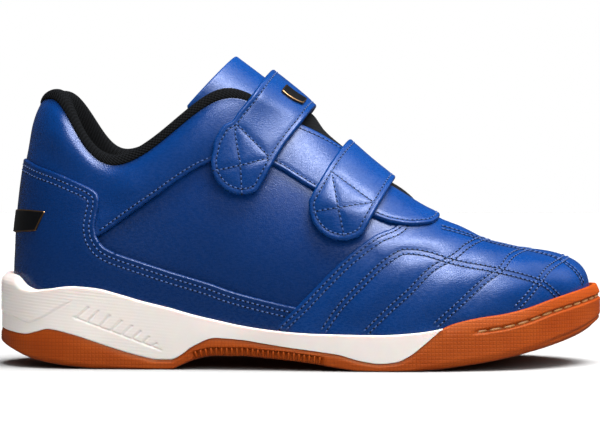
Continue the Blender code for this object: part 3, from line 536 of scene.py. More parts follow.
def in_metres(points):
    """Corners as a mesh takes them, about the middle of the shoe's box."""
    return ((np.asarray(points) - BOX_MIDDLE) * MM).tolist()


def new_piece(name, points, faces, looks, nodes=(), slot=None, pattern=None, second=()):
    """Finished piece of the shoe; faces listed in second take the second look.

    pattern holds each corner's place on the unrolled surface, for looks that follow it.
    """
    mesh = bpy.data.meshes.new(name)
    mesh.from_pydata(in_metres(points), [], faces)
    for look in looks:
        mesh.materials.append(look)
    marks = np.zeros(len(faces), dtype=np.int32)
    marks[list(second)] = 1
    mesh.polygons.foreach_set("material_index", marks)
    mesh.polygons.foreach_set("use_smooth", np.ones(len(faces), dtype=bool))
    if pattern is not None:
        set_vectors(mesh, "pattern", pattern)
    mesh.update()
    piece = show(name, mesh)
    settle(piece, nodes, slot)
    return piece


def settle(piece, nodes, slot):
    """Put a piece on the shoe's one body."""
    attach(piece, "root")
    if nodes:
        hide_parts(*nodes)
    slot or nodes[0]


def run_length(points):
    """Length along a run of points at each of them."""
    steps = np.linalg.norm(np.diff(points, axis=0), axis=-1)
    return np.concatenate((np.zeros_like(steps[:1]), np.cumsum(steps, axis=0)))


def respaced(points, pitch):
    """The same run with its points evenly spaced."""
    way = run_length(points)
    count = max(int(round(way[-1] / pitch)), 2) + 1
    at = np.linspace(0.0, way[-1], count)
    return np.stack([np.interp(at, way, column) for column in points.T], -1)


def even_stations(first, end, pitch, level):
    """Stations evenly spaced round the foot at a level."""
    s = np.linspace(first, end, 1500)
    way = run_length(last(s, level))
    return np.interp(np.linspace(0.0, way[-1], int(round(way[-1] / pitch)) + 1), way, s)


def even_levels(s, low, high, count):
    """Levels from low to high, evenly spaced up each station."""
    trial = np.linspace(low, high, 60)
    way = run_length(last(s, trial[:, None]))
    parts = np.linspace(0.0, 1.0, count)
    return np.stack([np.interp(parts * run[-1], run, trial) for run in way.T], -1)


def grid_value(grid, spots):
    """Value of a grid at fractional rows and columns."""
    r = np.clip(spots[:, 0], 0, grid.shape[0] - 1)
    c = np.clip(spots[:, 1], 0, grid.shape[1] - 1)
    r0 = np.minimum(np.floor(r).astype(int), grid.shape[0] - 2)
    c0 = np.minimum(np.floor(c).astype(int), grid.shape[1] - 2)
    tail = (1,) * (grid.ndim - 2)
    fr, fc = (r - r0).reshape(-1, *tail), (c - c0).reshape(-1, *tail)
    near = grid[r0, c0] * (1 - fc) + grid[r0, c0 + 1] * fc
    far = grid[r0 + 1, c0] * (1 - fc) + grid[r0 + 1, c0 + 1] * fc
    return near * (1 - fr) + far * fr


def trim(field, closed=False):
    """Cut a grid along the zero line of a field and keep the positive side.

    Gives the corners' rows and columns, the faces, and the pairs of corners along the cut.
    """
    rows, cols = field.shape
    turn = cols - 1 if closed else cols
    inside = field > 0
    number, spots, faces, cut = {}, [], [], []

    def corner(key, row, col):
        if key not in number:
            number[key] = len(spots)
            spots.append((row, col))
        return number[key]

    def whole(spot):
        return corner((spot[0], spot[1] % turn), *spot)

    def between(a, b):
        a, b = sorted((a, b))
        part = field[a] / (field[a] - field[b])
        key = (a[0], a[1] % turn, b[0], b[1] % turn)
        return corner(key, a[0] + part * (b[0] - a[0]), a[1] + part * (b[1] - a[1]))

    for r in range(rows - 1):
        for c in range(cols - 1):
            square = ((r, c), (r, c + 1), (r + 1, c + 1), (r + 1, c))
            kept = [inside[spot] for spot in square]
            if not any(kept):
                continue
            face, crossed = [], []
            for i, spot in enumerate(square):
                after = (i + 1) % 4
                if kept[i]:
                    face.append(whole(spot))
                if kept[i] != kept[after]:
                    crossed.append(between(spot, square[after]))
                    face.append(crossed[-1])
            faces.append(tuple(face))
            if len(crossed) == 2:
                cut.append(tuple(crossed))
    return np.array(spots, dtype=float), faces, cut


def chains(pairs):
    """Join pairs of corners into ordered runs."""
    beside = {}
    for a, b in pairs:
        beside.setdefault(a, []).append(b)
        beside.setdefault(b, []).append(a)
    runs, used = [], set()
    for start in sorted(beside, key=lambda corner: len(beside[corner])):
        if start in used:
            continue
        run = [start]
        used.add(start)
        while True:
            ahead = [corner for corner in beside[run[-1]] if corner not in used]
            if not ahead:
                break
            run.append(ahead[0])
            used.add(ahead[0])
        if len(run) > 2 and start in beside[run[-1]]:
            run.append(start)
        runs.append(run)
    return runs


def tree_of(points):
    """Search tree of a grid or run of points."""
    flat = points.reshape(-1, 3)
    tree = kdtree.KDTree(len(flat))
    for i, point in enumerate(flat):
        tree.insert(point, i)
    tree.balance()
    return tree


def nearest(points, cloud):
    """Distance from each point to the nearest point of a cloud."""
    tree = tree_of(cloud)
    return np.array([tree.find(point)[2] for point in points.reshape(-1, 3)]).reshape(points.shape[:-1])


def pillow(points, lines, wide):
    """Rise of padded leather between sewn lines, from 0 on a line to 1, and how far the nearest line is."""
    gaps = [nearest(points, line) for line in lines]
    return np.prod([1 - hump(gap, wide) for gap in gaps], axis=0), np.min(gaps, axis=0)


def rounded_sheet(top, faces, thick, edge, steps):
    """Sheet with a rounded rim and a back; its top is given, the rest lies below it.

    Gives its corners, its faces and which of them are its back.
    """
    normal = surface_normals(top, faces)
    pairs = {pair: True for face in faces for pair in zip(face, face[1:] + face[:1])}
    rim = [pair for pair in pairs if pair[::-1] not in pairs]
    ahead = dict(rim)
    behind = {b: a for a, b in rim}
    corners = list(ahead)
    order = {corner: i for i, corner in enumerate(corners)}
    far = [ahead.get(ahead[c], ahead[c]) for c in corners]
    back = [behind.get(behind.get(c, c), c) for c in corners]
    out = unit(np.cross(unit(top[far] - top[back]), normal[corners]))
    layers = [top]
    for turn in np.linspace(0.0, math.pi / 2, steps + 1)[1:]:
        layers.append(top[corners] + edge * (math.sin(turn) * out - (1 - math.cos(turn)) * normal[corners]))
    layers.append(top[corners] + edge * out - thick * normal[corners])
    starts = np.cumsum([0] + [len(layer) for layer in layers]).tolist()
    under = starts[-1]
    made = list(faces)
    for a, b in rim:
        i, j = order[a], order[b]
        near = (a, b)
        for start in starts[1:-1]:
            made.append((near[1], near[0], start + i, start + j))
            near = (start + i, start + j)
        made.append((near[1], near[0], under + a, under + b))
    hidden = range(len(made), len(made) + len(faces))
    made += [tuple(under + corner for corner in face[::-1]) for face in faces]
    return np.concatenate(layers + [top - thick * normal]), made, hidden


def sheet_piece(name, top, faces, thick, edge, looks, nodes=(), slot=None, steps=4, on_rim=False):
    """Piece made of one sheet; a second look goes on its back or on its rim."""
    points, made, back = rounded_sheet(top, faces, thick, edge, steps)
    second = range(len(faces), back[0]) if on_rim else back
    return new_piece(name, points, made, looks, nodes, slot, second=second if len(looks) > 1 else ())


def grid_piece(name, grid, **settings):
    """Piece made of a sheet whose top is a grid."""
    sheet_piece(name, grid.reshape(-1, 3), grid_faces(*grid.shape[:2], turned=True), **settings)


def grid_faces(rows, cols, closed_rows=False, turned=False):
    """Faces of a grid numbered row by row, turned over if its rows run the other way."""
    faces = []
    for r in range(rows if closed_rows else rows - 1):
        near, far = r * cols, (r + 1) % rows * cols
        for c in range(cols - 1):
            face = (near + c, near + c + 1, far + c + 1, far + c)
            faces.append(face[::-1] if turned else face)
    return faces


def weld(points, faces):
    """Join corners that lie on one another; gives the corners kept and the faces between them."""
    _, first, joined = np.unique(np.round(points / WELD), axis=0, return_index=True, return_inverse=True)
    joined = joined.ravel().tolist()
    kept = []
    for face in faces:
        corners = [joined[corner] for corner in face]
        corners = tuple(c for c, before in zip(corners, corners[-1:] + corners[:-1]) if c != before)
        if len(corners) > 2:
            kept.append(corners)
    return first, kept


# Panels of the upper

class Panel:
    """Leather panel on the upper, bounded by edges that are seen from the side.

    Its grid runs between two stations, evenly spaced at one level, and from a low to a high level.
    """

    def __init__(self, first, end, edges, *, pitch, at, low, high, rows, closed=False):
        stations = even_stations(first, end, pitch, at)
        self.t = even_levels(stations, low, high, rows)
        self.s = np.broadcast_to(stations, self.t.shape)
        self.closed = closed
        self.base = last(self.s, self.t)
        self.insets = [self.inset_from(edge(self.base)) for edge in edges]
        self.inset = np.min(self.insets, axis=0) if edges else np.full(self.t.shape, FAR)
        self.lift = np.zeros(self.t.shape)

    def inset_from(self, field):
        """Distance inside an edge, measured on the upper."""
        spots, _, cut = trim(field, self.closed)
        runs = [respaced(grid_value(self.base, spots[run]), EDGE_PITCH) for run in chains(cut)]
        return np.sign(field) * nearest(self.base, np.concatenate(runs))

    def place(self, spots):
        """Points and normals on the panel's face."""
        s, t = grid_value(self.s, spots), grid_value(self.t, spots)
        normal = outward(s, t)
        return last(s, t) + grid_value(self.lift, spots)[:, None] * normal, normal

    def row(self, which, inset, where=None):
        """Runs of spots at a distance inside one of the panel's edges."""
        spots, _, cut = trim(self.insets[which] - inset, self.closed)
        runs = []
        for run in chains(cut):
            run = spots[run]
            keep = grid_value(self.inset, run) > inset - ROW_SLACK
            if where:
                keep &= where(grid_value(self.base, run))
            for part in np.split(np.arange(len(run)), np.flatnonzero(~keep)):
                part = part[keep[part]]
                if len(part) > SHORT_ROW:
                    runs.append(run[part])
        return runs

    def sew(self, which, inset, where=None):
        """Sew the panel down at a distance inside one of its edges."""
        for run in self.row(which, inset, where):
            sew(*self.place(run))

    def make(self, name, thick, edge, look, node):
        """Creased leather sheet with a rounded edge and a cloth back."""
        self.lift = self.lift - crease_depth(self.base)
        spots, faces, _ = trim(self.inset - edge, self.closed)
        sheet_piece(name, self.place(spots)[0], faces, thick, edge, (look, lining), (node,))


def surface_normals(points, faces):
    """Normals at the corners of a mesh, weighted by area."""
    normal = np.zeros_like(points)
    for size in {len(face) for face in faces}:
        group = np.array([face for face in faces if len(face) == size])
        first = points[group[:, 0]]
        for i in range(1, size - 1):
            flat = np.cross(points[group[:, i]] - first, points[group[:, i + 1]] - first)
            for corner in group.T:
                np.add.at(normal, corner, flat)
    return unit(normal + 1e-12)


def locate(x, z, inner=False):
    """Station and level of the point of the upper that is seen at x, z from one side."""
    s = np.linspace(0.2, TOE_ROW - 0.02, 220)
    if inner:
        s = ROWS - s
    t = np.linspace(0.01, 0.99, 140)
    base = last(s[None, :], t[:, None])
    found = []
    for px, pz in zip(x, z):
        miss = (base[..., 0] - px) ** 2 + (base[..., 2] - pz) ** 2
        r, c = np.unravel_index(int(np.argmin(miss)), miss.shape)
        found.append((s[c], t[r]))
    spots, target, step = np.array(found), np.stack((x, z), -1), 1e-3
    for _ in range(3):
        here = last(spots[:, 0], spots[:, 1])[:, ::2]
        along = last(spots[:, 0] + step, spots[:, 1])[:, ::2] - here
        up = last(spots[:, 0], spots[:, 1] + step)[:, ::2] - here
        move = np.linalg.solve(np.stack((along, up), -1) / step, (target - here)[..., None])
        spots += np.clip(move[..., 0], -0.04, 0.04)
    return spots


def smooth_run(points, pitch):
    """Smooth run through a few points, evenly spaced."""
    points = np.asarray(points, dtype=float)
    way = run_length(points)
    tangent = np.gradient(points, way, axis=0)
    at = np.linspace(0.0, way[-1], max(int(way[-1] / pitch), 3) + 1)
    i = np.clip(np.searchsorted(way, at) - 1, 0, len(way) - 2)
    span = (way[i + 1] - way[i])[:, None]
    f = (at - way[i])[:, None] / span
    return hermite(f, points[i], points[i + 1], span * tangent[i], span * tangent[i + 1])


# Materials

def linear(colour):
    """sRGB hex to linear colour."""
    channels = [int(colour[i:i + 2], 16) / 255 for i in (0, 2, 4)]
    return (*(c / 12.92 if c <= 0.04045 else ((c + 0.055) / 1.055) ** 2.4 for c in channels), 1.0)


def fill(tree, node, inputs):
    """Link or set the inputs of a node."""
    for key, value in inputs.items():
        if isinstance(value, bpy.types.NodeSocket):
            tree.links.new(value, node.inputs[key])
        else:
            node.inputs[key].default_value = value


def add(tree, kind, inputs=None, **settings):
    """Add a node with its settings and its links or values; gives its outputs."""
    made = tree.nodes.new(kind)
    for name, value in settings.items():
        setattr(made, name, value)
    fill(tree, made, inputs or {})
    return made.outputs


def new_look(name):
    """New material and its tree."""
    look = bpy.data.materials.new(name)
    look.use_nodes = True
    return look, look.node_tree


def finish_look(look, **sockets):
    """Link or set the sockets of a material's shader."""
    shader = look.node_tree.nodes["Principled BSDF"]
    fill(look.node_tree, shader, {name.replace("_", " "): value for name, value in sockets.items()})
    return look


def per_mm(size):
    """Scale of a pattern on Object coordinates whose cells measure a size in millimetres."""
    return 1.0 / (size * MM)


def pebbled_leather(name, colour, shade, painted_shade=None, grain=0.6, relief=0.3):
    """Corrected-grain cowhide, dyed through and spray finished: pebbled, satin, soft highlights.

    The optional third colour is a darker tone of painted shade, mixed in towards the sole and the heel.
    """
    look, tree = new_look(name)
    place = add(tree, "ShaderNodeTexCoord")["Object"]
    cells = add(tree, "ShaderNodeTexVoronoi", {"Vector": place, "Scale": per_mm(grain)},
                feature="DISTANCE_TO_EDGE")[0]
    pebbles = add(tree, "ShaderNodeMapRange", {"Value": cells, "From Max": 0.3},
                  interpolation_type="SMOOTHSTEP")[0]
    stretch = add(tree, "ShaderNodeMapping",
                  {"Vector": place, "Rotation": (0.3, 0.5, 0.9), "Scale": (1.0, 1.0, 2.4)})[0]
    wrinkles = add(tree, "ShaderNodeTexNoise", {"Vector": stretch, "Scale": per_mm(1.3), "Detail": 3.0})[0]
    clouds = add(tree, "ShaderNodeTexNoise", {"Vector": place, "Scale": per_mm(14.0), "Detail": 4.0})[0]
    tone = add(tree, "ShaderNodeMapRange", {"Value": clouds, "From Min": 0.3, "From Max": 0.7})[0]
    dye = add(tree, "ShaderNodeMix", {"Factor": tone, 6: linear(shade), 7: linear(colour)},
              data_type="RGBA")[2]
    # Painted shade: the colour turns darker towards the sole and towards the heel
    if painted_shade:
        axes = add(tree, "ShaderNodeSeparateXYZ", {0: place})
        height = add(tree, "ShaderNodeMath", {0: axes[0], 1: PAINTED_SHADE_SLANT, 2: axes[2]},
                     operation="MULTIPLY_ADD")[0]
        shade_fade = add(tree, "ShaderNodeMapRange",
                   {"Value": height, "From Min": PAINTED_SHADE_LOW * MM, "From Max": PAINTED_SHADE_HIGH * MM},
                   interpolation_type="SMOOTHSTEP")[0]
        dye = add(tree, "ShaderNodeMix", {"Factor": shade_fade, 6: linear(painted_shade), 7: dye}, data_type="RGBA")[2]
    dull = add(tree, "ShaderNodeMapRange",
               {"Value": wrinkles, "From Min": 0.3, "From Max": 0.7, "To Min": 0.22, "To Max": 0.34})[0]
    coarse = add(tree, "ShaderNodeBump",
                 {"Height": wrinkles, "Strength": 0.3 * relief, "Distance": 0.2 * MM})[0]
    fine = add(tree, "ShaderNodeBump",
               {"Height": pebbles, "Strength": relief, "Distance": 0.06 * MM, "Normal": coarse})[0]
    return finish_look(look, IOR=1.45, Specular_IOR_Level=0.45, Specular_Tint=linear("d4deff"),
                       Base_Color=dye, Roughness=dull, Normal=fine)


def pattern_axes(tree):
    """Place on the unrolled surface, in millimetres: along, across."""
    place = add(tree, "ShaderNodeAttribute", attribute_name="pattern")["Vector"]
    return add(tree, "ShaderNodeSeparateXYZ", {0: place})[:2]


def wave(tree, value, size):
    """Sine along a length, one turn to each size."""
    turn = add(tree, "ShaderNodeMath", {0: value, 1: 2 * math.pi / size}, operation="MULTIPLY")[0]
    return add(tree, "ShaderNodeMath", {0: turn}, operation="SINE")[0]


def ribbed_knit(name, colour, light):
    """Polyester spacer knit: rows of small raised loops, dull with a soft sheen."""
    look, tree = new_look(name)
    along, across = pattern_axes(tree)
    slant = add(tree, "ShaderNodeMath", {0: across, 1: 0.5, 2: along}, operation="MULTIPLY_ADD")[0]
    loops = add(tree, "ShaderNodeMath", {0: wave(tree, slant, 1.25), 1: wave(tree, across, 1.5)},
                operation="MULTIPLY")[0]
    height = add(tree, "ShaderNodeMapRange", {"Value": loops, "From Min": -0.8, "From Max": 0.8})[0]
    blend = add(tree, "ShaderNodeMix", {"Factor": height, 6: linear(colour), 7: linear(light)},
                data_type="RGBA")[2]
    relief = add(tree, "ShaderNodeBump", {"Height": height, "Strength": 0.8, "Distance": 0.4 * MM})[0]
    return finish_look(look, Roughness=0.85, IOR=1.4, Specular_IOR_Level=0.15,
                       Base_Color=blend, Normal=relief)


def moulded_foam(name, colour, shade):
    """Moulded EVA foam: matte, off-white, a faint skin texture, a little uneven in tone."""
    look, tree = new_look(name)
    place = add(tree, "ShaderNodeTexCoord")["Object"]
    clouds = add(tree, "ShaderNodeTexNoise", {"Vector": place, "Scale": per_mm(18.0), "Detail": 4.0})[0]
    grain = add(tree, "ShaderNodeTexNoise", {"Vector": place, "Scale": per_mm(0.5), "Detail": 2.0})[0]
    tone = add(tree, "ShaderNodeMapRange", {"Value": clouds, "From Min": 0.35, "From Max": 0.65})[0]
    blend = add(tree, "ShaderNodeMix", {"Factor": tone, 6: linear(shade), 7: linear(colour)},
                data_type="RGBA")[2]
    dull = add(tree, "ShaderNodeMapRange", {"Value": clouds, "To Min": 0.5, "To Max": 0.68})[0]
    relief = add(tree, "ShaderNodeBump", {"Height": grain, "Strength": 0.15, "Distance": 0.08 * MM})[0]
    return finish_look(look, IOR=1.45, Specular_IOR_Level=0.3, Subsurface_Weight=0.3,
                       Subsurface_Scale=3.0 * MM, Base_Color=blend, Roughness=dull, Normal=relief)


def gum_rubber(name, colour, light, dark):
    """Vulcanised gum rubber: amber, satin, with a fine moulded square grid on its sides."""
    look, tree = new_look(name)
    lines = [add(tree, "ShaderNodeMapRange",
                 {"Value": wave(tree, axis, 1.15), "From Min": 0.35, "From Max": 0.95})[0]
             for axis in pattern_axes(tree)]
    grid = add(tree, "ShaderNodeMath", {0: lines[0], 1: lines[1]}, operation="MAXIMUM")[0]
    place = add(tree, "ShaderNodeTexCoord")["Object"]
    clouds = add(tree, "ShaderNodeTexNoise", {"Vector": place, "Scale": per_mm(9.0), "Detail": 4.0})[0]
    tone = add(tree, "ShaderNodeMapRange", {"Value": clouds, "From Min": 0.3, "From Max": 0.7})[0]
    blend = add(tree, "ShaderNodeMix", {"Factor": tone, 6: linear(colour), 7: linear(light)},
                data_type="RGBA")[2]
    # Painted shade: the sunk grid lines take the darker colour
    sunk = add(tree, "ShaderNodeMath", {0: grid, 1: 0.3}, operation="MULTIPLY")[0]
    lined = add(tree, "ShaderNodeMix", {"Factor": sunk, 6: blend, 7: linear(dark)}, data_type="RGBA")[2]
    dull = add(tree, "ShaderNodeMapRange", {"Value": clouds, "To Min": 0.42, "To Max": 0.6})[0]
    relief = add(tree, "ShaderNodeBump", {"Height": grid, "Strength": 0.35, "Distance": 0.12 * MM},
                 invert=True)[0]
    return finish_look(look, IOR=1.5, Specular_IOR_Level=0.35, Specular_Tint=linear("ffc89a"),
                       Base_Color=lined, Roughness=dull, Normal=relief)


def woven_cloth(name, colour, light, pitch=0.8):
    """Plain-woven polyester: a small even weave, dull.

    The threads are drawn coarser than real ones, so that the weave shows.
    """
    look, tree = new_look(name)
    place = add(tree, "ShaderNodeTexCoord")["Object"]
    warp, weft = (wave(tree, axis, pitch * MM) for axis in add(tree, "ShaderNodeSeparateXYZ", {0: place})[:2])
    threads = add(tree, "ShaderNodeMath", {0: warp, 1: weft}, operation="MULTIPLY")[0]
    height = add(tree, "ShaderNodeMapRange", {"Value": threads, "From Min": -1.0})[0]
    blend = add(tree, "ShaderNodeMix", {"Factor": height, 6: linear(colour), 7: linear(light)},
                data_type="RGBA")[2]
    relief = add(tree, "ShaderNodeBump", {"Height": height, "Strength": 0.5, "Distance": 0.2 * MM})[0]
    return finish_look(look, Roughness=0.9, IOR=1.4, Specular_IOR_Level=0.25, Base_Color=blend, Normal=relief)


def twisted_thread(name, colour, light, twist=0.5):
    """Bonded polyester sewing thread: slightly shiny, with the lay of its strands.

    The strands are drawn coarser than real ones, so that they show.
    """
    look, tree = new_look(name)
    place = add(tree, "ShaderNodeTexCoord")["Object"]
    strands = add(tree, "ShaderNodeTexNoise", {"Vector": place, "Scale": per_mm(twist), "Detail": 2.0})[0]
    blend = add(tree, "ShaderNodeMix", {"Factor": strands, 6: linear(colour), 7: linear(light)},
                data_type="RGBA")[2]
    relief = add(tree, "ShaderNodeBump", {"Height": strands, "Strength": 0.3, "Distance": 0.08 * MM})[0]
    return finish_look(look, Roughness=0.5, IOR=1.5, Sheen_Weight=0.2, Base_Color=blend, Normal=relief)


def brushed_plate(name, colour, light, metallic, rough):
    """Cast plate with a satin brushed finish, a little duller in patches."""
    look, tree = new_look(name)
    place = add(tree, "ShaderNodeTexCoord")["Object"]
    stretch = add(tree, "ShaderNodeMapping", {"Vector": place, "Scale": (1.0, 1.0, 0.12)})[0]
    brush = add(tree, "ShaderNodeTexNoise", {"Vector": stretch, "Scale": per_mm(0.25), "Detail": 3.0})[0]
    blend = add(tree, "ShaderNodeMix", {"Factor": brush, 6: linear(colour), 7: linear(light)},
                data_type="RGBA")[2]
    dull = add(tree, "ShaderNodeMapRange",
               {"Value": brush, "To Min": rough - 0.08, "To Max": rough + 0.12})[0]
    relief = add(tree, "ShaderNodeBump", {"Height": brush, "Strength": 0.15, "Distance": 0.05 * MM})[0]
    return finish_look(look, Metallic=metallic, Base_Color=blend, Roughness=dull, Normal=relief)


# The third colour of the quarter, counter and collar leather is painted shade towards the sole and the heel
quarter_leather = pebbled_leather("quarter_leather", "033170", "022c67", "022658")
vamp_leather = pebbled_leather("vamp_leather", "033370", "022e67")
counter_leather = pebbled_leather("counter_leather", "033170", "022c67", "022658")
collar_leather = pebbled_leather("collar_leather", "033371", "022e68", "02295e")
strap_leather = pebbled_leather("strap_leather", "043674", "03306b")
tongue_leather = pebbled_leather("tongue_leather", "053979", "043370", grain=0.5, relief=0.24)
knit = ribbed_knit("collar_knit", "040405", "0e1013")
lining = woven_cloth("lining_cloth", "060709", "0f1114")
sock = woven_cloth("sock_cloth", "101216", "1c1f25")
backing = woven_cloth("strap_backing", "060709", "0f1114")
foam = moulded_foam("white_foam", "ddd6d1", "d6cfc9")
# The gum's third colour is painted shade in the sunk grid lines of its sides
gum = gum_rubber("gum_rubber", "8f3604", "993f06", "6b2608")
blue_thread = twisted_thread("blue_thread", "0b3672", "1a4c8d")
# Needle holes: near-black bodies that paint the shade in the holes between the stitches
painted_hole_shade = woven_cloth("painted_hole_shade", "010612", "020a1c")
tan_thread = twisted_thread("tan_thread", "9a5a1c", "cf9144")
plate_face = brushed_plate("plate_face", "0a0b0e", "16181d", 0.6, 0.36)
plate_rim = brushed_plate("plate_rim", "8a6a4c", "b08a62", 1.0, 0.3)


# Pieces

stitch_rows = []


def sew(points, normal):
    """Keep a row for the sewing thread."""
    stitch_rows.append((points, normal))


def side_edge(table, sign):
    """Signed height above (1) or below (-1) an edge seen from the side."""
    return lambda base: sign * (base[..., 2] - smooth(table, "z", base[..., 0]))


def counter_edge(base):
    """Height below the counter's edge, which leans back under its corner."""
    rise = base[..., 2] - COUNTER_LEAN_AT
    lean = COUNTER_LEAN * rise * hump(rise, COUNTER_LEAN_RUN)
    return smooth(COUNTER_EDGE, "z", base[..., 0] - lean) - base[..., 2]


def facing_edge(base):
    """Height above the collar panel's lower edge, which runs under the counter at the heel."""
    x = base[..., 0]
    lower = smooth(FACING_EDGE, "z", x)
    behind = smooth(COUNTER_EDGE, "z", x) - UNDER_COUNTER
    return base[..., 2] - np.where(x < COUNTER_BEND, behind, lower)


def crease_depth(base):
    """Soft creases of the leather, listed one by one, as depth below its face."""
    depth = np.zeros(base.shape[:-1])
    for x, z, slope, run, wide, deep in zip(*CREASES.values()):
        turn = math.radians(slope)
        ahead, up = base[..., 0] - x, base[..., 2] - z
        along = ahead * math.cos(turn) + up * math.sin(turn)
        across = up * math.cos(turn) - ahead * math.sin(turn)
        depth += deep * hump(along, run) * hump(across, wide)
    return depth


def make_quarter():
    """Hollow shell of the upper, which the other panels lie on."""
    panel = Panel(0.0, ROWS, (), pitch=1.3, at=0.35, low=0.0, high=1.0, rows=48, closed=True)
    panel.make("quarter", WALL, WALL_EDGE, quarter_leather, "upper")


def quilt_lines():
    """Middle lines of the vamp's double rows, on both sides of the foot, as stations and levels."""
    lines = []
    for row, ridge_x in QUILT_ROWS:
        halves = [locate(row["x"], row["z"], inner) for inner in (False, True)]
        if ridge_x:
            levels = np.linspace(0.3, 1.0, 300)
            ridge = np.interp(-ridge_x, -last(TOE_ROW, levels)[:, 0], levels)
            middle = np.array(((TOE_ROW, ridge),))
            lines.append(np.concatenate((halves[0], middle, halves[1][::-1])))
        else:
            lines += halves
    return [smooth_run(line * GRID_SIZE, 1.0) / GRID_SIZE for line in lines]


def make_vamp():
    """Panel over the toe, padded between double sewn rows."""
    edges = side_edge(VAMP_EDGE, -1), lambda base: UNDER_FACING - facing_edge(base)
    panel = Panel(VAMP_REAR, ROWS - VAMP_REAR, edges, pitch=0.72, at=0.3, low=0.02, high=0.97, rows=100)
    lines = quilt_lines()
    middle = [respaced(last(*line.T), 0.4) for line in lines]
    middle += [grid_value(panel.base, run) for run in panel.row(0, ROW_INSET + ROW_PAIR / 2)]
    puff, away = pillow(panel.base, middle, QUILT_WIDE)
    puff *= 0.3 + 0.7 * ease(np.abs(panel.s - TOE_ROW) / 1.3)
    by_edge = ease((panel.insets[0] - 1.0) / 5.0)
    by_facing = ease((panel.insets[1] - 1.0) / 9.0)
    panel.lift = VAMP_TOP + QUILT_PUFF * (puff - QUILT_MIDDLE) * by_edge * by_facing
    panel.lift -= QUILT_SEAM * hump(away - ROW_PAIR / 2, SEAM_PULL) + VAMP_TUCK * (1 - by_facing)
    panel.make("vamp_panel", LEATHER, VAMP_ROUND, vamp_leather, "vamp")
    for line in lines:
        points = respaced(last(*line.T), 0.6)
        spots = nearest_spots(points, panel)
        normal = outward(panel.s[spots], panel.t[spots])
        across = unit(np.cross(normal, np.gradient(points, axis=0)))
        for half in (-0.5, 0.5):
            lift = (panel.lift[spots] + THREAD_LIFT)[:, None] * normal
            sew(points + half * ROW_PAIR * across + lift, normal)
    for inset in (ROW_INSET, ROW_INSET + ROW_PAIR):
        panel.sew(0, inset)


def nearest_spots(points, panel):
    """Rows and columns of a panel's grid nearest to points on the upper."""
    tree = tree_of(panel.base)
    return np.unravel_index([tree.find(point)[1] for point in points], panel.t.shape)


def make_counter():
    """Panel round the heel, thick at its upper edge and thin at its nose."""
    front, taper = station_at(COUNTER_FRONT), station_at(COUNTER_TAPER)
    panel = Panel(-front, front, (counter_edge,), pitch=0.8, at=0.3, low=0.02, high=0.85, rows=84)
    nose = ease((np.abs(panel.s) - taper) / (front - taper))
    low = COUNTER_FOOT + nose * (COUNTER_NOSE - COUNTER_FOOT)
    high = COUNTER_RIM + nose * (COUNTER_NOSE - COUNTER_RIM)
    panel.lift = low + (1 - np.clip(panel.inset / COUNTER_RISE, 0.0, 1.0)) * (high - low)
    for inset in COUNTER_ROWS:
        panel.lift -= SEAM_DEPTH * hump(panel.inset - inset, SEAM_WIDE)
    panel.make("counter_panel", LEATHER, LEATHER_EDGE, counter_leather, "heel_counter")
    behind_vamp = side_edge(VAMP_EDGE, 1)
    for inset in COUNTER_ROWS:
        panel.sew(0, inset, lambda base: behind_vamp(base) > 1.0)


def make_collar_panel():
    """Facing round the collar and the throat, swollen where the collar is padded."""
    panel = Panel(0.0, ROWS, (facing_edge,), pitch=0.85, at=0.8, low=0.3, high=0.998, rows=76, closed=True)
    x = panel.base[..., 0]
    below = np.linalg.norm(panel.base - last(panel.s[0], 1.0), axis=-1)
    padded = ease((COLLAR_PAD_FRONT - x) / 25.0)
    padded *= ease((1.0 - panel.inset_from(counter_edge(panel.base))) / 14.0)
    padded *= 0.3 + 0.7 * ease((x - HEEL_PAD) / 14.0)
    swell = hump(below - SWELL_DROP, SWELL_WIDE) - 0.5 * hump(below, 2.5)
    panel.lift = FACING_TOP + COLLAR_SWELL * padded * swell
    ahead = ease((x - EYESTAY) / 10.0)
    panel.lift += ahead * (0.4 * hump(panel.inset, 4.0) - 1.3 * hump(below, 6.0))
    panel.lift -= SEAM_DEPTH * hump(panel.inset - ROW_INSET, SEAM_WIDE)
    panel.insets.append(below)
    panel.make("collar_leather", LEATHER, LEATHER_EDGE, collar_leather, "collar_panel")
    panel.sew(0, ROW_INSET, lambda base: base[..., 0] > COUNTER_BEND + 3.0)
    panel.sew(1, ROW_INSET + 0.3, lambda base: base[..., 0] > THROAT_BACK)


def make_collar_knit():
    """Knit roll round the collar and the lining below it, slimmer towards its front ends."""
    s = even_stations(-ROLL_END, ROLL_END, pitch=0.9, level=1.0)
    slim = 1.0 - ROLL_SLIM * ease((np.abs(s) - ROLL_FULL) / (ROLL_END - ROLL_FULL))
    rim = last(s, 1.0)
    rise = rim - last(s, 1.0 - RIM_SHARE)
    length = np.linalg.norm(rise, axis=-1) / RIM_SHARE
    rise = unit(rise)
    inside = WALL + GAP
    profile = np.stack((ROLL["out"], ROLL["up"]), -1)
    rings = []
    for out, up in closed_spline(profile)(np.linspace(0.0, len(profile), 56, endpoint=False)):
        thick = np.where(out < -inside - 0.03, -inside + (out + inside) * slim, out)
        if up > 0:
            rings.append(rim + rise * up + outward(s, 1.0) * thick[..., None])
        else:
            rings.append(skin(s, 1.0 + up / length, thick))
    rings = np.array(rings)
    count, stations = rings.shape[:2]
    faces = grid_faces(count, stations, closed_rows=True)
    faces.append(tuple(ring * stations for ring in range(count)))
    faces.append(tuple(ring * stations + stations - 1 for ring in reversed(range(count))))
    along = np.broadcast_to(run_length(rim), rings.shape[:2])
    pattern = np.stack((along, run_length(rings), np.zeros_like(along)), -1)
    piece = new_piece("collar_knit", rings.reshape(-1, 3), faces, (knit,), ("collar_lining",),
                      pattern=pattern)


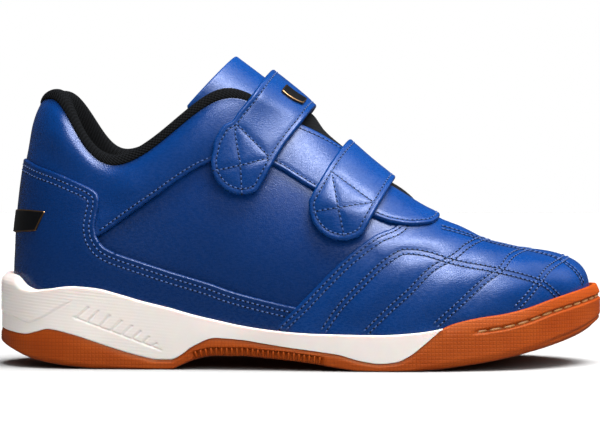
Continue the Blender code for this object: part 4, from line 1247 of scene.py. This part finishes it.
def tongue_face(table, x, sink, share):
    """Tongue's face at a set of lengths: an arch across the foot whose wings hang inside the collar."""
    z, half, drop = (smooth(table, name, x)[:, None] for name in ("z", "half", "drop"))
    turn = np.linspace(-WRAP_MAX - TONGUE_HANG, WRAP_MAX + TONGUE_HANG, 72)[None, :] * share
    angle = np.clip(turn, -WRAP_MAX, WRAP_MAX)
    hang = TONGUE_DEEP * np.abs(turn - angle) * ease((TONGUE_HANG_END - x) / 8.0)[:, None]
    fall = (drop - sink) * (1 - np.cos(angle)) + sink
    y = (half - sink) * np.sin(angle)
    return np.stack((x[:, None] - math.sin(INSTEP_SLOPE) * fall + 0.3 * hang, y,
                     z - math.cos(INSTEP_SLOPE) * fall - hang), -1)


def make_tongue():
    """Padded tongue, and the leather on its top end."""
    for name, look, node, table, end, sink, thick, edge in (
            ("tongue_pad", lining, "tongue", TONGUE_PAD, TONGUE_END, 0.25, TONGUE_THICK - 0.5, 1.0),
            ("tongue_leather", tongue_leather, "tongue_facing", TONGUE, TONGUE_LEATHER_END,
             -GAP - TONGUE_LEATHER, 1.1, 0.6)):
        x = np.linspace(table["x"][0] + edge, end, 70)
        grid = tongue_face(table, x, sink, 1.0 - edge / TONGUE_REACH)
        kept, faces = weld(grid.reshape(-1, 3), grid_faces(*grid.shape[:2], turned=True))
        piece = sheet_piece(name, grid.reshape(-1, 3)[kept], faces, thick, edge, (look,), (node,))


class StrapRun:
    """Run of a strap over the foot: planes square to the instep cut its lines from the girths."""

    def __init__(self, strap):
        self.strap = strap
        slope = math.radians(strap["slope"])
        self.down = np.array((-math.sin(slope), 0.0, -math.cos(slope)))
        self.middle = np.array((strap["x"], 0.0, strap["z"]))
        self.u = np.linspace(RUN_BACK, RUN_FRONT, LINE_STEPS)
        self.v = np.linspace(RUN_FOOT, GIRTH - RUN_FOOT, 3 * LINE_STEPS)
        along = np.array((math.cos(slope), 0.0, -math.sin(slope)))
        grid_u, grid_v = np.meshgrid(self.u, self.v)
        self.field = (girth(grid_u, grid_v) - self.middle) @ along
        self.edge = crossing(self.u, FACING_EDGE, "z")

    def path(self, offset):
        """Stations and points of a line at an offset from the strap's middle."""
        cut = np.array([np.interp(at, row, self.u) for at, row in zip(offset, self.field)])
        return cut, girth(cut, self.v)

    def line(self, a, part, inset):
        """Stations, levels and heights of one line; a runs across, part from tab to sewn end."""
        strap, v = self.strap, self.v
        fall = (self.path(np.full_like(v, a * strap["half"]))[1] - self.middle) @ self.down
        tip = np.where(v < GIRTH / 2, strap["tab"] - fall, FAR)
        widen = strap["flare"] * ease((strap["notch"] - tip) / NOTCH_RAMP) * ease(tip / NOTCH_FADE)
        sway = strap["sway"] * ease(1.0 - tip / SWAY_RUN)
        cut, path = self.path(a * strap["half"] - max(-a, 0.0) * widen + sway)
        fall = (path - self.middle) @ self.down
        top = int(np.argmin(fall))
        bow = 1.0 - math.sqrt(1.0 - TAB_ROUND * a * a)
        tab_end = np.interp(strap["tab"] - inset - strap["half"] * bow, fall[top::-1], v[top::-1])
        sewn_end = np.interp(strap["sewn"] - inset, fall[top:], v[top:])
        way = run_length(path)
        first, end = np.interp((tab_end, sewn_end), v, way)
        level = np.interp(first + part * (end - first), way, v)
        station = np.interp(level, v, cut)
        side = np.minimum(level, GIRTH - level)
        on_facing = ease((side - np.interp(station, self.u, self.edge)) / FACING_RAMP + FACING_EARLY)
        lift = TAB_LIFT + (OVER_FACING - TAB_LIFT) * on_facing
        crown = strap["crown"] - strap["tilt"] * a - OVER_FACING
        return station, level, lift + crown * ease((side - CROWN_START) / CROWN_RAMP)

    def sheet(self, across, along, inset, height):
        """Grid of points at a height above the strap's inner face."""
        lines = [self.line(a, along, inset) for a in across]
        return np.array([girth_lift(station, level, lift + height) for station, level, lift in lines])


def strap_grid(run, inset, height, across, along):
    """Strap's face, drawn in from its outline all round, and its lines across."""
    a = np.sin(np.linspace(-1.0, 1.0, across) * math.pi / 2) * (1.0 - inset / run.strap["half"])
    return run.sheet(a, np.linspace(0.0, 1.0, along), inset, height), a


def make_strap(name):
    """Strap with its sewn rows and its backing; gives its run."""
    run = StrapRun(STRAPS[name])
    half = run.strap["half"]
    grid, a = strap_grid(run, STRAP_EDGE, STRAP_THICK, across=40, along=190)
    rows, cols = grid.shape[:2]
    normal = surface_normals(grid.reshape(-1, 3), grid_faces(rows, cols, turned=True)).reshape(grid.shape)
    way = run_length(np.swapaxes(grid, 0, 1)).T
    tip = run.strap["tab"] - (grid - run.middle) @ run.down
    tab_cols = np.arange(cols // 3)

    def spots_of(flat):
        """Rows and columns of points given across from the middle and up from the tab's tip."""
        row = np.interp(flat[:, 0] / half, a, np.arange(rows))
        near = np.clip(np.floor(row).astype(int), 0, rows - 2)
        col = [[np.interp(up, tip[r, :cols // 3], tab_cols) for up, r in zip(flat[:, 1], near + k)]
               for k in (0, 1)]
        return np.stack((row, (1 - row + near) * col[0] + (row - near) * col[1]), -1)

    inset = ROW_INSET - STRAP_EDGE + 0.45
    side = (half - STRAP_EDGE - inset) / half
    edge = np.stack((a * half, tip[:, 0]), -1)
    straight = np.linspace(STRAP_STRAIGHT, 0.0, 30)[:-1, None] * (0, 1)
    edge = respaced(np.concatenate((edge[0] + straight, edge, edge[-1] + straight[::-1])), 0.5)
    run_on = np.gradient(edge, axis=0)
    rounded = spots_of(edge + inset * unit(np.stack((-run_on[:, 1], run_on[:, 0]), -1)))
    on_back = np.linspace(rounded[0, 1], 0.99 * cols, 80)[1:, None] * (0, 1)
    outline = np.concatenate((rounded[0] * (1, 0) + on_back[::-1], rounded, rounded[-1] * (1, 0) + on_back))
    box, right, left = STRAP_CROSS[name]
    corners = (-side, box[0]), (side, box[1])
    runs = [outline] + [spots_of(np.linspace(start, end, 50) * (half, 1.0)) for start, end in (
        ((-CROSS_START * side, box[0] - 1.0), right), (corners[1], left), corners)]
    ends = spots_of(np.array(((-side, STRAP_STRAIGHT), (side, STRAP_STRAIGHT))) * (half, 1.0))[:, 0]
    across = np.linspace(*ends, 40)
    runs.append(np.stack((across, np.full_like(across, 0.97 * cols)), -1))
    puff, away = pillow(grid, [respaced(grid_value(grid, spots), 0.5) for spots in runs], STRAP_PILLOW)
    on_tab = ease((box[0] + 5.0 - way) / 6.0)
    lift = STRAP_PUFF * puff * (0.45 + 0.55 * on_tab) - STRAP_SEAM * hump(away, SEAM_PULL)
    grid = grid + lift[..., None] * normal
    grid_piece(f"{name}_leather", grid, thick=STRAP_LEATHER, edge=STRAP_EDGE, looks=(strap_leather,),
               nodes=(name,), steps=5)
    for spots in runs:
        sew(grid_value(grid, spots), unit(grid_value(normal, spots)))
    grid, _ = strap_grid(run, BACKING_INSET, BACKING_TOP, across=20, along=120)
    grid_piece(f"{name}_backing", grid, thick=0.75, edge=0.3, looks=(backing,), slot=name, steps=2)
    return run


def make_strap_plate(run):
    """Blank plate on the ankle strap."""
    across, along = np.linspace(*PLATE_ACROSS, 16), np.linspace(*PLATE_ALONG, 10)
    grid = run.sheet(across, along, inset=0.0, height=STRAP_THICK + PLATE_LIFT)
    grid_piece("strap_plate_metal", grid, thick=1.0, edge=0.35, looks=(plate_face, plate_rim),
               nodes=("strap_plate",), on_rim=True)


def make_heel_plate():
    """Blank plate round the back of the heel."""
    s = np.linspace(-PLATE_REACH, PLATE_REACH, 60)
    t = np.linspace(crossing(s, HEEL_PLATE, "low"), crossing(s, HEEL_PLATE, "high"), 12)
    s = s * (1.0 + PLATE_SLANT * np.linspace(-1.0, 1.0, len(t)))[:, None]
    top = skin(s, t, np.full(t.shape, HEEL_PLATE_TOP)).reshape(-1, 3)
    sheet_piece("heel_plate_badge", top, grid_faces(*t.shape), thick=0.9, edge=0.4,
                looks=(plate_face, plate_rim), nodes=("heel_plate",), on_rim=True)


class SoleSide:
    """Outline of the sole at a set of stations, outer and inner side."""

    def __init__(self, stations):
        self.s = sides(stations)
        self.ones = np.ones_like(self.s)
        self.foot, self.out, self.flare = plan(self.s)
        own_x = (self.foot + self.out * self.flare[..., None])[..., 0]
        self.edge_x = np.stack((own_x[0], own_x[0]))
        self.shift = self.edge_x - own_x

    def line(self, column):
        return smooth(SOLE, column, self.edge_x)

    def ring(self, inset, height):
        """Ring at an inset from the outline; height is a value or a function of length."""
        flat = self.foot + self.out * (self.flare - inset * self.ones)[..., None]
        z = height(flat[..., 0] + self.shift) if callable(height) else height * self.ones
        return np.concatenate((flat, z[..., None]), -1)

    def cup(self, level, lift, height=None):
        """Ring on the upper at a level, held off it; height resets its heights."""
        ring = skin(self.s, level * self.ones, lift * self.ones)
        if height is None:
            return ring
        return np.concatenate((ring[..., :2], height(ring[..., 0] + self.shift)[..., None]), -1)

    def sink(self, wall, depth):
        """Push rows of the side in by a depth."""
        wall[..., :2] -= depth[..., None] * self.out

    def lip_level(self):
        """Level on the upper where the sole's lip meets it."""
        return crossing(self.s.ravel(), SOLE, "wall", CUP_LIFT).reshape(self.s.shape)


def sole_line(column):
    return lambda x: smooth(SOLE, column, x)


def rubber_floor(x):
    """Top of the rubber under the midsole."""
    under = np.minimum(sole_line("rubber")(x), sole_line("tread")(x) + RUBBER)
    ramp = np.minimum(sole_line("rubber")(x), sole_line("bed")(x) - 3 * GAP)
    return np.where(x > RAMP_START, ramp, under)


def across_strip(ring, count):
    """Points across the foot between the two sides of a ring, outer to inner."""
    part = np.linspace(0.0, 1.0, count)[:, None, None]
    return ring[0] * (1 - part) + ring[1] * part


def wall_rows(side, low, high, lip, levels, foot_round, foot_share, lean):
    """Rows up the sole's side, from its rounded foot to its lip, to which it leans in at the top."""
    rows = []
    for part in np.linspace(0.0, 1.0, levels):
        bend = 1 - min(part / foot_share, 1.0)
        ring = side.ring(foot_round * (1 - math.sqrt(max(1 - bend * bend, 0.0))), low + part * (high - low))
        rise = np.clip((part - lean) / (1 - lean), 0.0, 1.0) * side.ones
        ring[..., :2] += (rise ** LIP_TURN)[..., None] * (lip - side.ring(0.0, 0.0))[..., :2]
        rows.append(ring)
    return np.array(rows)


def rounded_lip(outer, inner, height, steps=6):
    """Rows over the sole's lip."""
    rows = []
    for turn in np.linspace(0.0, math.pi, steps + 2)[1:-1]:
        part = 0.5 * (1 - math.cos(turn))
        row = outer * (1 - part) + inner * part
        row[..., 2] += height * math.sin(turn)
        rows.append(row)
    return np.array(rows)


def hoop(name, bottom, wall, lip, cup, bed, look, node, front_cap=False):
    """Closed body of the sole: loops round it at every station, heel to toe.

    At the toe the loops close on a line; a body that ends before it takes a cap there.
    """
    loop = np.concatenate((bottom, wall[:, 1], lip[:, 1], cup[:, 1], bed[::-1],
                           cup[::-1, 0], lip[::-1, 0], wall[::-1, 0]))
    count, stations = loop.shape[:2]
    faces = grid_faces(count, stations, closed_rows=True, turned=True)
    if front_cap:
        faces.append(tuple(ring * stations + stations - 1 for ring in range(count)))
    way = np.maximum(run_length(0.5 * (wall[0, 0] + wall[0, 1])), run_length(wall[0, 0]))
    pattern = np.stack((np.broadcast_to(way, loop.shape[:2]), loop[..., 2], loop[..., 1]), -1).reshape(-1, 3)
    points = loop.reshape(-1, 3)
    kept, faces = weld(points, faces)
    new_piece(name, points[kept], faces, (look,), (node,), pattern=pattern[kept])


def tread_pattern(x, y):
    """Depth of the grooves under the sole: flex grooves, and chevrons between them."""
    depth = np.zeros_like(x)
    for middle in FLEX_GROOVES:
        depth = np.maximum(depth, FLEX_DEPTH * np.exp(-((x - middle) / 1.1) ** 4))
    chevron = (x + 0.45 * np.abs(y)) / CHEVRON
    return np.maximum(depth, CHEVRON_DEPTH * ease(2.6 * np.cos(2 * math.pi * chevron) - 1.2))


def make_outsole():
    """Gum rubber cup with its groove, lugs and tread; gives the groove's path and normals."""
    side = SoleSide(even_stations(0.0, TOE_ROW, pitch=0.58, level=0.0))
    x, tread, rubber = side.edge_x, side.line("tread"), side.line("rubber")
    ahead = ease((x - MIDSOLE_FRONT - 0.9) / 0.8)[..., None]
    level = side.lip_level()
    lip_out = (1 - ahead) * side.ring(GAP, rubber) + ahead * side.cup(level, CUP_LIFT + LIP)
    lip_in = (1 - ahead) * side.ring(RUBBER_SIDE, rubber) + ahead * side.cup(level, CUP_LIFT)
    wall = wall_rows(side, tread, rubber - 0.35, lip_out, levels=46,
                     foot_round=TREAD_EDGE, foot_share=0.2, lean=0.62)
    groove_z = rubber - GROOVE_DROP
    grooved = GROOVE_DEPTH * ease((x - GROOVE_START) / 5.0)
    side.sink(wall, grooved * np.exp(-((wall[..., 2] - groove_z) / 0.62) ** 4))
    above = wall[..., 2] - tread
    ribbed = ease((x - RIB_FIRST + 2.0) / 2.0) * ease((RIB_LAST + 2.0 - x) / 2.0)
    side.sink(wall, RIB_SUNK * ribbed * ease((RIB_HIGH - above) / 0.6))
    side.sink(wall, LUG_DEPTH * ease((x - LUG_START) / 6.0) * hump(above - LUG_HIGH, 0.45))
    bed = sole_line("bed")
    cup = (1 - ahead) * side.ring(RUBBER_SIDE + 0.5, rubber_floor) + ahead * side.cup(CUP_FOOT, CUP_LIFT, bed)
    floor = (1 - ahead) * side.ring(FLOOR_INSET, rubber_floor) + ahead * side.ring(FLOOR_INSET, bed)
    bottom = across_strip(side.ring(TREAD_EDGE, sole_line("tread")), 76)[1:-1]
    inside = np.minimum(bottom[..., 1] - wall[0, 0, :, 1], wall[0, 1, :, 1] - bottom[..., 1])
    bottom[..., 2] += tread_pattern(bottom[..., 0], bottom[..., 1]) * ease((inside - 2.0) / 1.5)
    hoop("outsole_rubber", bottom, wall, rounded_lip(lip_out, lip_in, 0.3), cup[None], across_strip(floor, 5),
         gum, "outsole")
    groove = side.ring(GROOVE_DEPTH - 0.1, groove_z)
    shown = x[0] > GROOVE_START + 3.0
    thread, out = (np.concatenate((line[0][shown], line[1][shown][::-1][1:])) for line in (groove, side.out))
    return thread, np.concatenate((out, np.zeros((len(out), 1))), -1)


def arch_rows():
    """Middle lines of the ribs along the rubber's edge under the arch, outer and inner."""
    side = SoleSide(np.linspace(station_at(RIB_FIRST), station_at(RIB_LAST), 120))
    path = side.ring(RIB_INSET, side.line("tread") + 0.52 * RIB_HIGH)
    normal = np.concatenate((side.out, np.full_like(side.out[..., :1], -0.5)), -1)
    return list(zip(path, unit(normal)))


def segment_distance(x, z, start, end):
    """Distance in the side view from a straight line."""
    start, run = np.array(start), np.array(end) - np.array(start)
    part = np.clip(((x - start[0]) * run[0] + (z - start[1]) * run[1]) / (run @ run), 0.0, 1.0)
    return np.hypot(x - start[0] - part * run[0], z - start[1] - part * run[1])


def make_midsole():
    """Foam wedge with the step, the fine ribs and the teeth on its side."""
    u = even_stations(0.0, float(station_at(MIDSOLE_FRONT)), pitch=0.62, level=0.0)
    toothed = (u > station_at(TEETH["x"][0] - 3.0)) & (u < station_at(TEETH["x"][-1] + 5.0))
    side = SoleSide(np.sort(np.concatenate((u, 0.5 * (u[:-1] + u[1:])[toothed[1:]]))))
    wall_z = side.line("wall")
    low = np.minimum(side.line("rubber") + GAP, wall_z - GAP)
    level = side.lip_level()
    lip_out, lip_in = side.cup(level, CUP_LIFT + LIP), side.cup(level, CUP_LIFT)
    for ring in (lip_out, lip_in):
        ring[..., 2] = wall_z
    lean = LEAN_START - HEEL_LEAN * ease((HEEL_ROUND - side.edge_x) / 12.0)
    wall = wall_rows(side, low, wall_z - 0.1, lip_out, levels=112,
                     foot_round=0.35, foot_share=0.03, lean=lean)
    x, z = np.broadcast_to(side.edge_x, wall.shape[:-1]), wall[..., 2]
    step, step_end = smooth(STEP_LINE, "z", x), STEP_LINE["x"][-1]
    below = ease((step - z) / 0.25) * np.exp(-np.maximum(step - z, 0.0) / 14.0)
    sunk = STEP_DEPTH * ease((step_end - x) / 12.0) * below
    sunk += STEP_GROOVE * ease((step_end - x) / 3.0) * hump(z - step, 0.24)
    ribs = ease((RIBS_FRONT - x) / 30.0) * ease((z - low) / 1.0) * (0.35 + 0.65 * ease((z - step) / 1.0))
    sunk += ribs * RIB_RELIEF * (0.5 - 0.5 * np.cos(2 * math.pi * (z + RIB_SLANT * x) / RIB_PITCH))
    for foot_x, foot_z, run, rise in zip(*TEETH.values()):
        away = segment_distance(x, z, (foot_x, foot_z), (foot_x + run, foot_z + rise))
        sunk += TOOTH_DEPTH * hump(away, 0.28)
    sunk += 0.6 * TOOTH_DEPTH * hump(segment_distance(x, z, *TEETH_LINE), 0.3)
    side.sink(wall, sunk)
    cup = np.array((side.cup(0.5 * level, CUP_LIFT), side.cup(CUP_FOOT, CUP_LIFT, sole_line("bed"))))

    def under(at):
        return rubber_floor(at) + GAP

    foot = side.ring(RUBBER_SIDE + GAP, np.maximum(low, under(side.edge_x) + 0.05))
    inner = across_strip(side.ring(RUBBER_SIDE + GAP + 0.5, under), 6)
    bottom = np.concatenate((foot[None, 0], inner, foot[None, 1]))
    bed = across_strip(side.ring(FLOOR_INSET, sole_line("bed")), 6)
    hoop("midsole_foam", bottom, wall, rounded_lip(lip_out, lip_in, 0.08), cup, bed, foam, "midsole",
         front_cap=True)


def make_insole():
    """Loose sock on the footbed, a little hollow across."""
    side = SoleSide(even_stations(0.0, TOE_ROW, pitch=1.6, level=0.0))

    def ring(inset, rise):
        return side.ring(side.flare + WALL + GAP + inset, lambda x: smooth(SOLE, "bed", x) + GAP + rise)

    wall = np.array([ring(*row) for row in INSOLE_EDGE])
    top = across_strip(ring(2.2, INSOLE), 22)
    top[..., 2] -= INSOLE_HOLLOW * np.sin(np.linspace(0.0, math.pi, len(top)))[:, None]
    hoop("insole_cloth", across_strip(ring(0.6, 0.0), 4), wall, wall[-1:], wall[-1:], top, sock, "insole")


# Sewing and ribs

ROW_INPUTS = {"Geometry": "Paths", "Float": "Pitch Length Width Height Shift Rise", "Int": "Segments Rings",
              "Material": "Look"}


def repeat_tree():
    """Small rounded bodies set at an even pitch along paths, turned with the surface."""
    tree = bpy.data.node_groups.new("rounded_row", "GeometryNodeTree")
    for kind, names in ROW_INPUTS.items():
        for name in names.split():
            tree.interface.new_socket(name, in_out="INPUT", socket_type=f"NodeSocket{kind}")
    tree.interface.new_socket("Row", in_out="OUTPUT", socket_type="NodeSocketGeometry")
    sizes = add(tree, "NodeGroupInput")
    path = add(tree, "GeometryNodeMeshToCurve", {"Mesh": sizes["Paths"]})[0]
    even = add(tree, "GeometryNodeResampleCurve", {"Curve": path, "Length": sizes["Pitch"]}, mode="LENGTH")[0]
    body = add(tree, "GeometryNodeMeshUVSphere",
               {"Segments": sizes["Segments"], "Rings": sizes["Rings"], "Radius": 0.5})[0]
    facing = add(tree, "GeometryNodeInputNamedAttribute", {"Name": "normal"}, data_type="FLOAT_VECTOR")[0]
    tangent = add(tree, "GeometryNodeInputTangent")[0]
    turn = add(tree, "FunctionNodeAxesToRotation", {0: facing, 1: tangent},
               primary_axis="Z", secondary_axis="X")[0]
    size = add(tree, "ShaderNodeCombineXYZ", {0: sizes["Length"], 1: sizes["Width"], 2: sizes["Height"]})[0]
    made = add(tree, "GeometryNodeInstanceOnPoints",
               {"Points": even, "Instance": body, "Rotation": turn, "Scale": size})[0]
    step_x = add(tree, "ShaderNodeMath", {0: sizes["Shift"], 1: sizes["Length"]}, operation="DIVIDE")[0]
    step_z = add(tree, "ShaderNodeMath", {0: sizes["Rise"], 1: sizes["Height"]}, operation="DIVIDE")[0]
    step = add(tree, "ShaderNodeCombineXYZ", {0: step_x, 2: step_z})[0]
    made = add(tree, "GeometryNodeTranslateInstances", {"Instances": made, "Translation": step})[0]
    made = add(tree, "GeometryNodeRealizeInstances", {"Geometry": made})[0]
    made = add(tree, "GeometryNodeSetShadeSmooth", {"Geometry": made})[0]
    made = add(tree, "GeometryNodeSetMaterial", {"Geometry": made, "Material": sizes["Look"]})[0]
    add(tree, "NodeGroupOutput", {0: made})
    return tree


def make_row(name, tree, rows, look, slot, **sizes):
    """One piece of repeated bodies along all the rows; sizes in millimetres."""
    points, normals = (np.concatenate(part) for part in zip(*rows))
    ends = np.cumsum([len(row) for row, _ in rows])
    edges = [(i, i + 1) for i in range(len(points) - 1) if i + 1 not in ends]
    mesh = bpy.data.meshes.new(f"{name}_path")
    mesh.from_pydata(in_metres(points), edges, [])
    set_vectors(mesh, "normal", normals)
    path = show(f"{name}_path", mesh)
    maker = path.modifiers.new("row", "NODES")
    maker.node_group = tree
    for item in tree.interface.items_tree:
        key = item.name.lower()
        if item.in_out == "INPUT" and key in sizes:
            whole = item.socket_type == "NodeSocketInt"
            maker[item.identifier] = sizes[key] if whole else sizes[key] * MM
        elif item.name == "Look":
            maker[item.identifier] = look
    evaluated = path.evaluated_get(bpy.context.evaluated_depsgraph_get())
    made = bpy.data.meshes.new_from_object(evaluated)
    made.name = name
    path.modifiers.remove(maker)
    bpy.data.objects.remove(path, do_unlink=True)
    settle(show(name, made), (), slot)


make_quarter()
make_vamp()
make_counter()
make_collar_panel()
make_collar_knit()
make_tongue()
make_strap_plate(make_strap("ankle_strap"))
make_strap("instep_strap")
make_heel_plate()
groove_thread = make_outsole()
make_midsole()
make_insole()

rows_tree = repeat_tree()
make_row("sewing_thread", rows_tree, stitch_rows, blue_thread, "upper",
         pitch=1.6, length=1.1, width=0.52, height=0.45, shift=0.0, rise=0.02, segments=8, rings=5)
# Painted shade: near-black bodies set between the thread's stitches, for the shade in the needle holes
make_row("painted_hole_shades", rows_tree, stitch_rows, painted_hole_shade, "upper",
         pitch=1.6, length=0.75, width=0.6, height=0.2, shift=0.8, rise=0.0, segments=6, rings=4)
make_row("groove_thread", rows_tree, [groove_thread], tan_thread, "outsole",
         pitch=4.7, length=4.3, width=0.9, height=0.9, shift=0.0, rise=0.0, segments=10, rings=8)
make_row("arch_ribs", rows_tree, arch_rows(), gum, "outsole",
         pitch=1.6, length=0.95, width=3.1, height=1.9, shift=0.0, rise=0.0, segments=10, rings=8)

# Floor, light and camera; the floor's half width and the camera's distance are in metres
FLOOR_HALF = 40.0
CAMERA_AWAY = 0.6
CAMERA_HIGH = 50.3
ROOM_GLOW = 0.08
corners = [(x * FLOOR_HALF, y * FLOOR_HALF, 0.0) for x, y in ((-1, -1), (1, -1), (1, 1), (-1, 1))]
floor_mesh = bpy.data.meshes.new("floor")
floor_mesh.from_pydata(corners, [], [(0, 1, 2, 3)])
floor = show("floor", floor_mesh)
paper, _ = new_look("pale_paper")
finish_look(paper, Roughness=1.0, Base_Color=linear("9a9a9a"), Specular_IOR_Level=0.0)
floor_mesh.materials.append(paper)
floor.visible_glossy = False

# The room is dim, so that the leather keeps deep tones; its wall shows white behind the shoe
world = bpy.data.worlds.new("studio")
world.use_nodes = True
room = world.node_tree
seen = add(room, "ShaderNodeLightPath")["Is Camera Ray"]
glow = add(room, "ShaderNodeMapRange", {"Value": seen, "To Min": ROOM_GLOW, "To Max": 1.0})[0]
fill(room, room.nodes["Background"], {"Color": (1.0, 1.0, 1.0, 1.0), "Strength": glow})
bpy.context.scene.world = world


def soft_light(name, tilt, turn, wide, power, gloss):
    """Even soft light: tilt from straight above, turn from the camera's side.

    With gloss it makes the sheen of the leather, without it the tone.
    """
    lamp = bpy.data.lights.new(name, "SUN")
    lamp.angle, lamp.energy = math.radians(wide), power
    holder = show(name, lamp)
    holder.rotation_euler = (math.radians(tilt), 0.0, math.radians(turn))
    holder.visible_glossy, holder.visible_diffuse = gloss, not gloss


soft_light("top_light", tilt=14.0, turn=95.0, wide=44.0, power=10.4, gloss=False)
soft_light("fill_light", tilt=52.0, turn=20.0, wide=50.0, power=1.7, gloss=False)
soft_light("left_sheen", tilt=40.0, turn=8.0, wide=22.0, power=2.4, gloss=True)
soft_light("right_sheen", tilt=43.0, turn=31.0, wide=24.0, power=3.3, gloss=True)
soft_light("halo_light", tilt=40.0, turn=46.0, wide=54.0, power=1.8, gloss=True)
soft_light("toe_light", tilt=55.0, turn=105.0, wide=32.0, power=0.38, gloss=True)

lens = bpy.data.cameras.new("camera")
lens.sensor_fit = "HORIZONTAL"
lens.sensor_width = 36.0
lens.lens = 108.0
lens.clip_start = 0.01
camera = show("camera", lens)
camera.location = (-BOX_MIDDLE[0] * MM, -CAMERA_AWAY - BOX_MIDDLE[1] * MM, CAMERA_HIGH * MM)
camera.rotation_euler = (math.pi / 2, 0.0, 0.0)
bpy.context.scene.camera = camera
bpy.context.scene.view_settings.view_transform = "Standard"
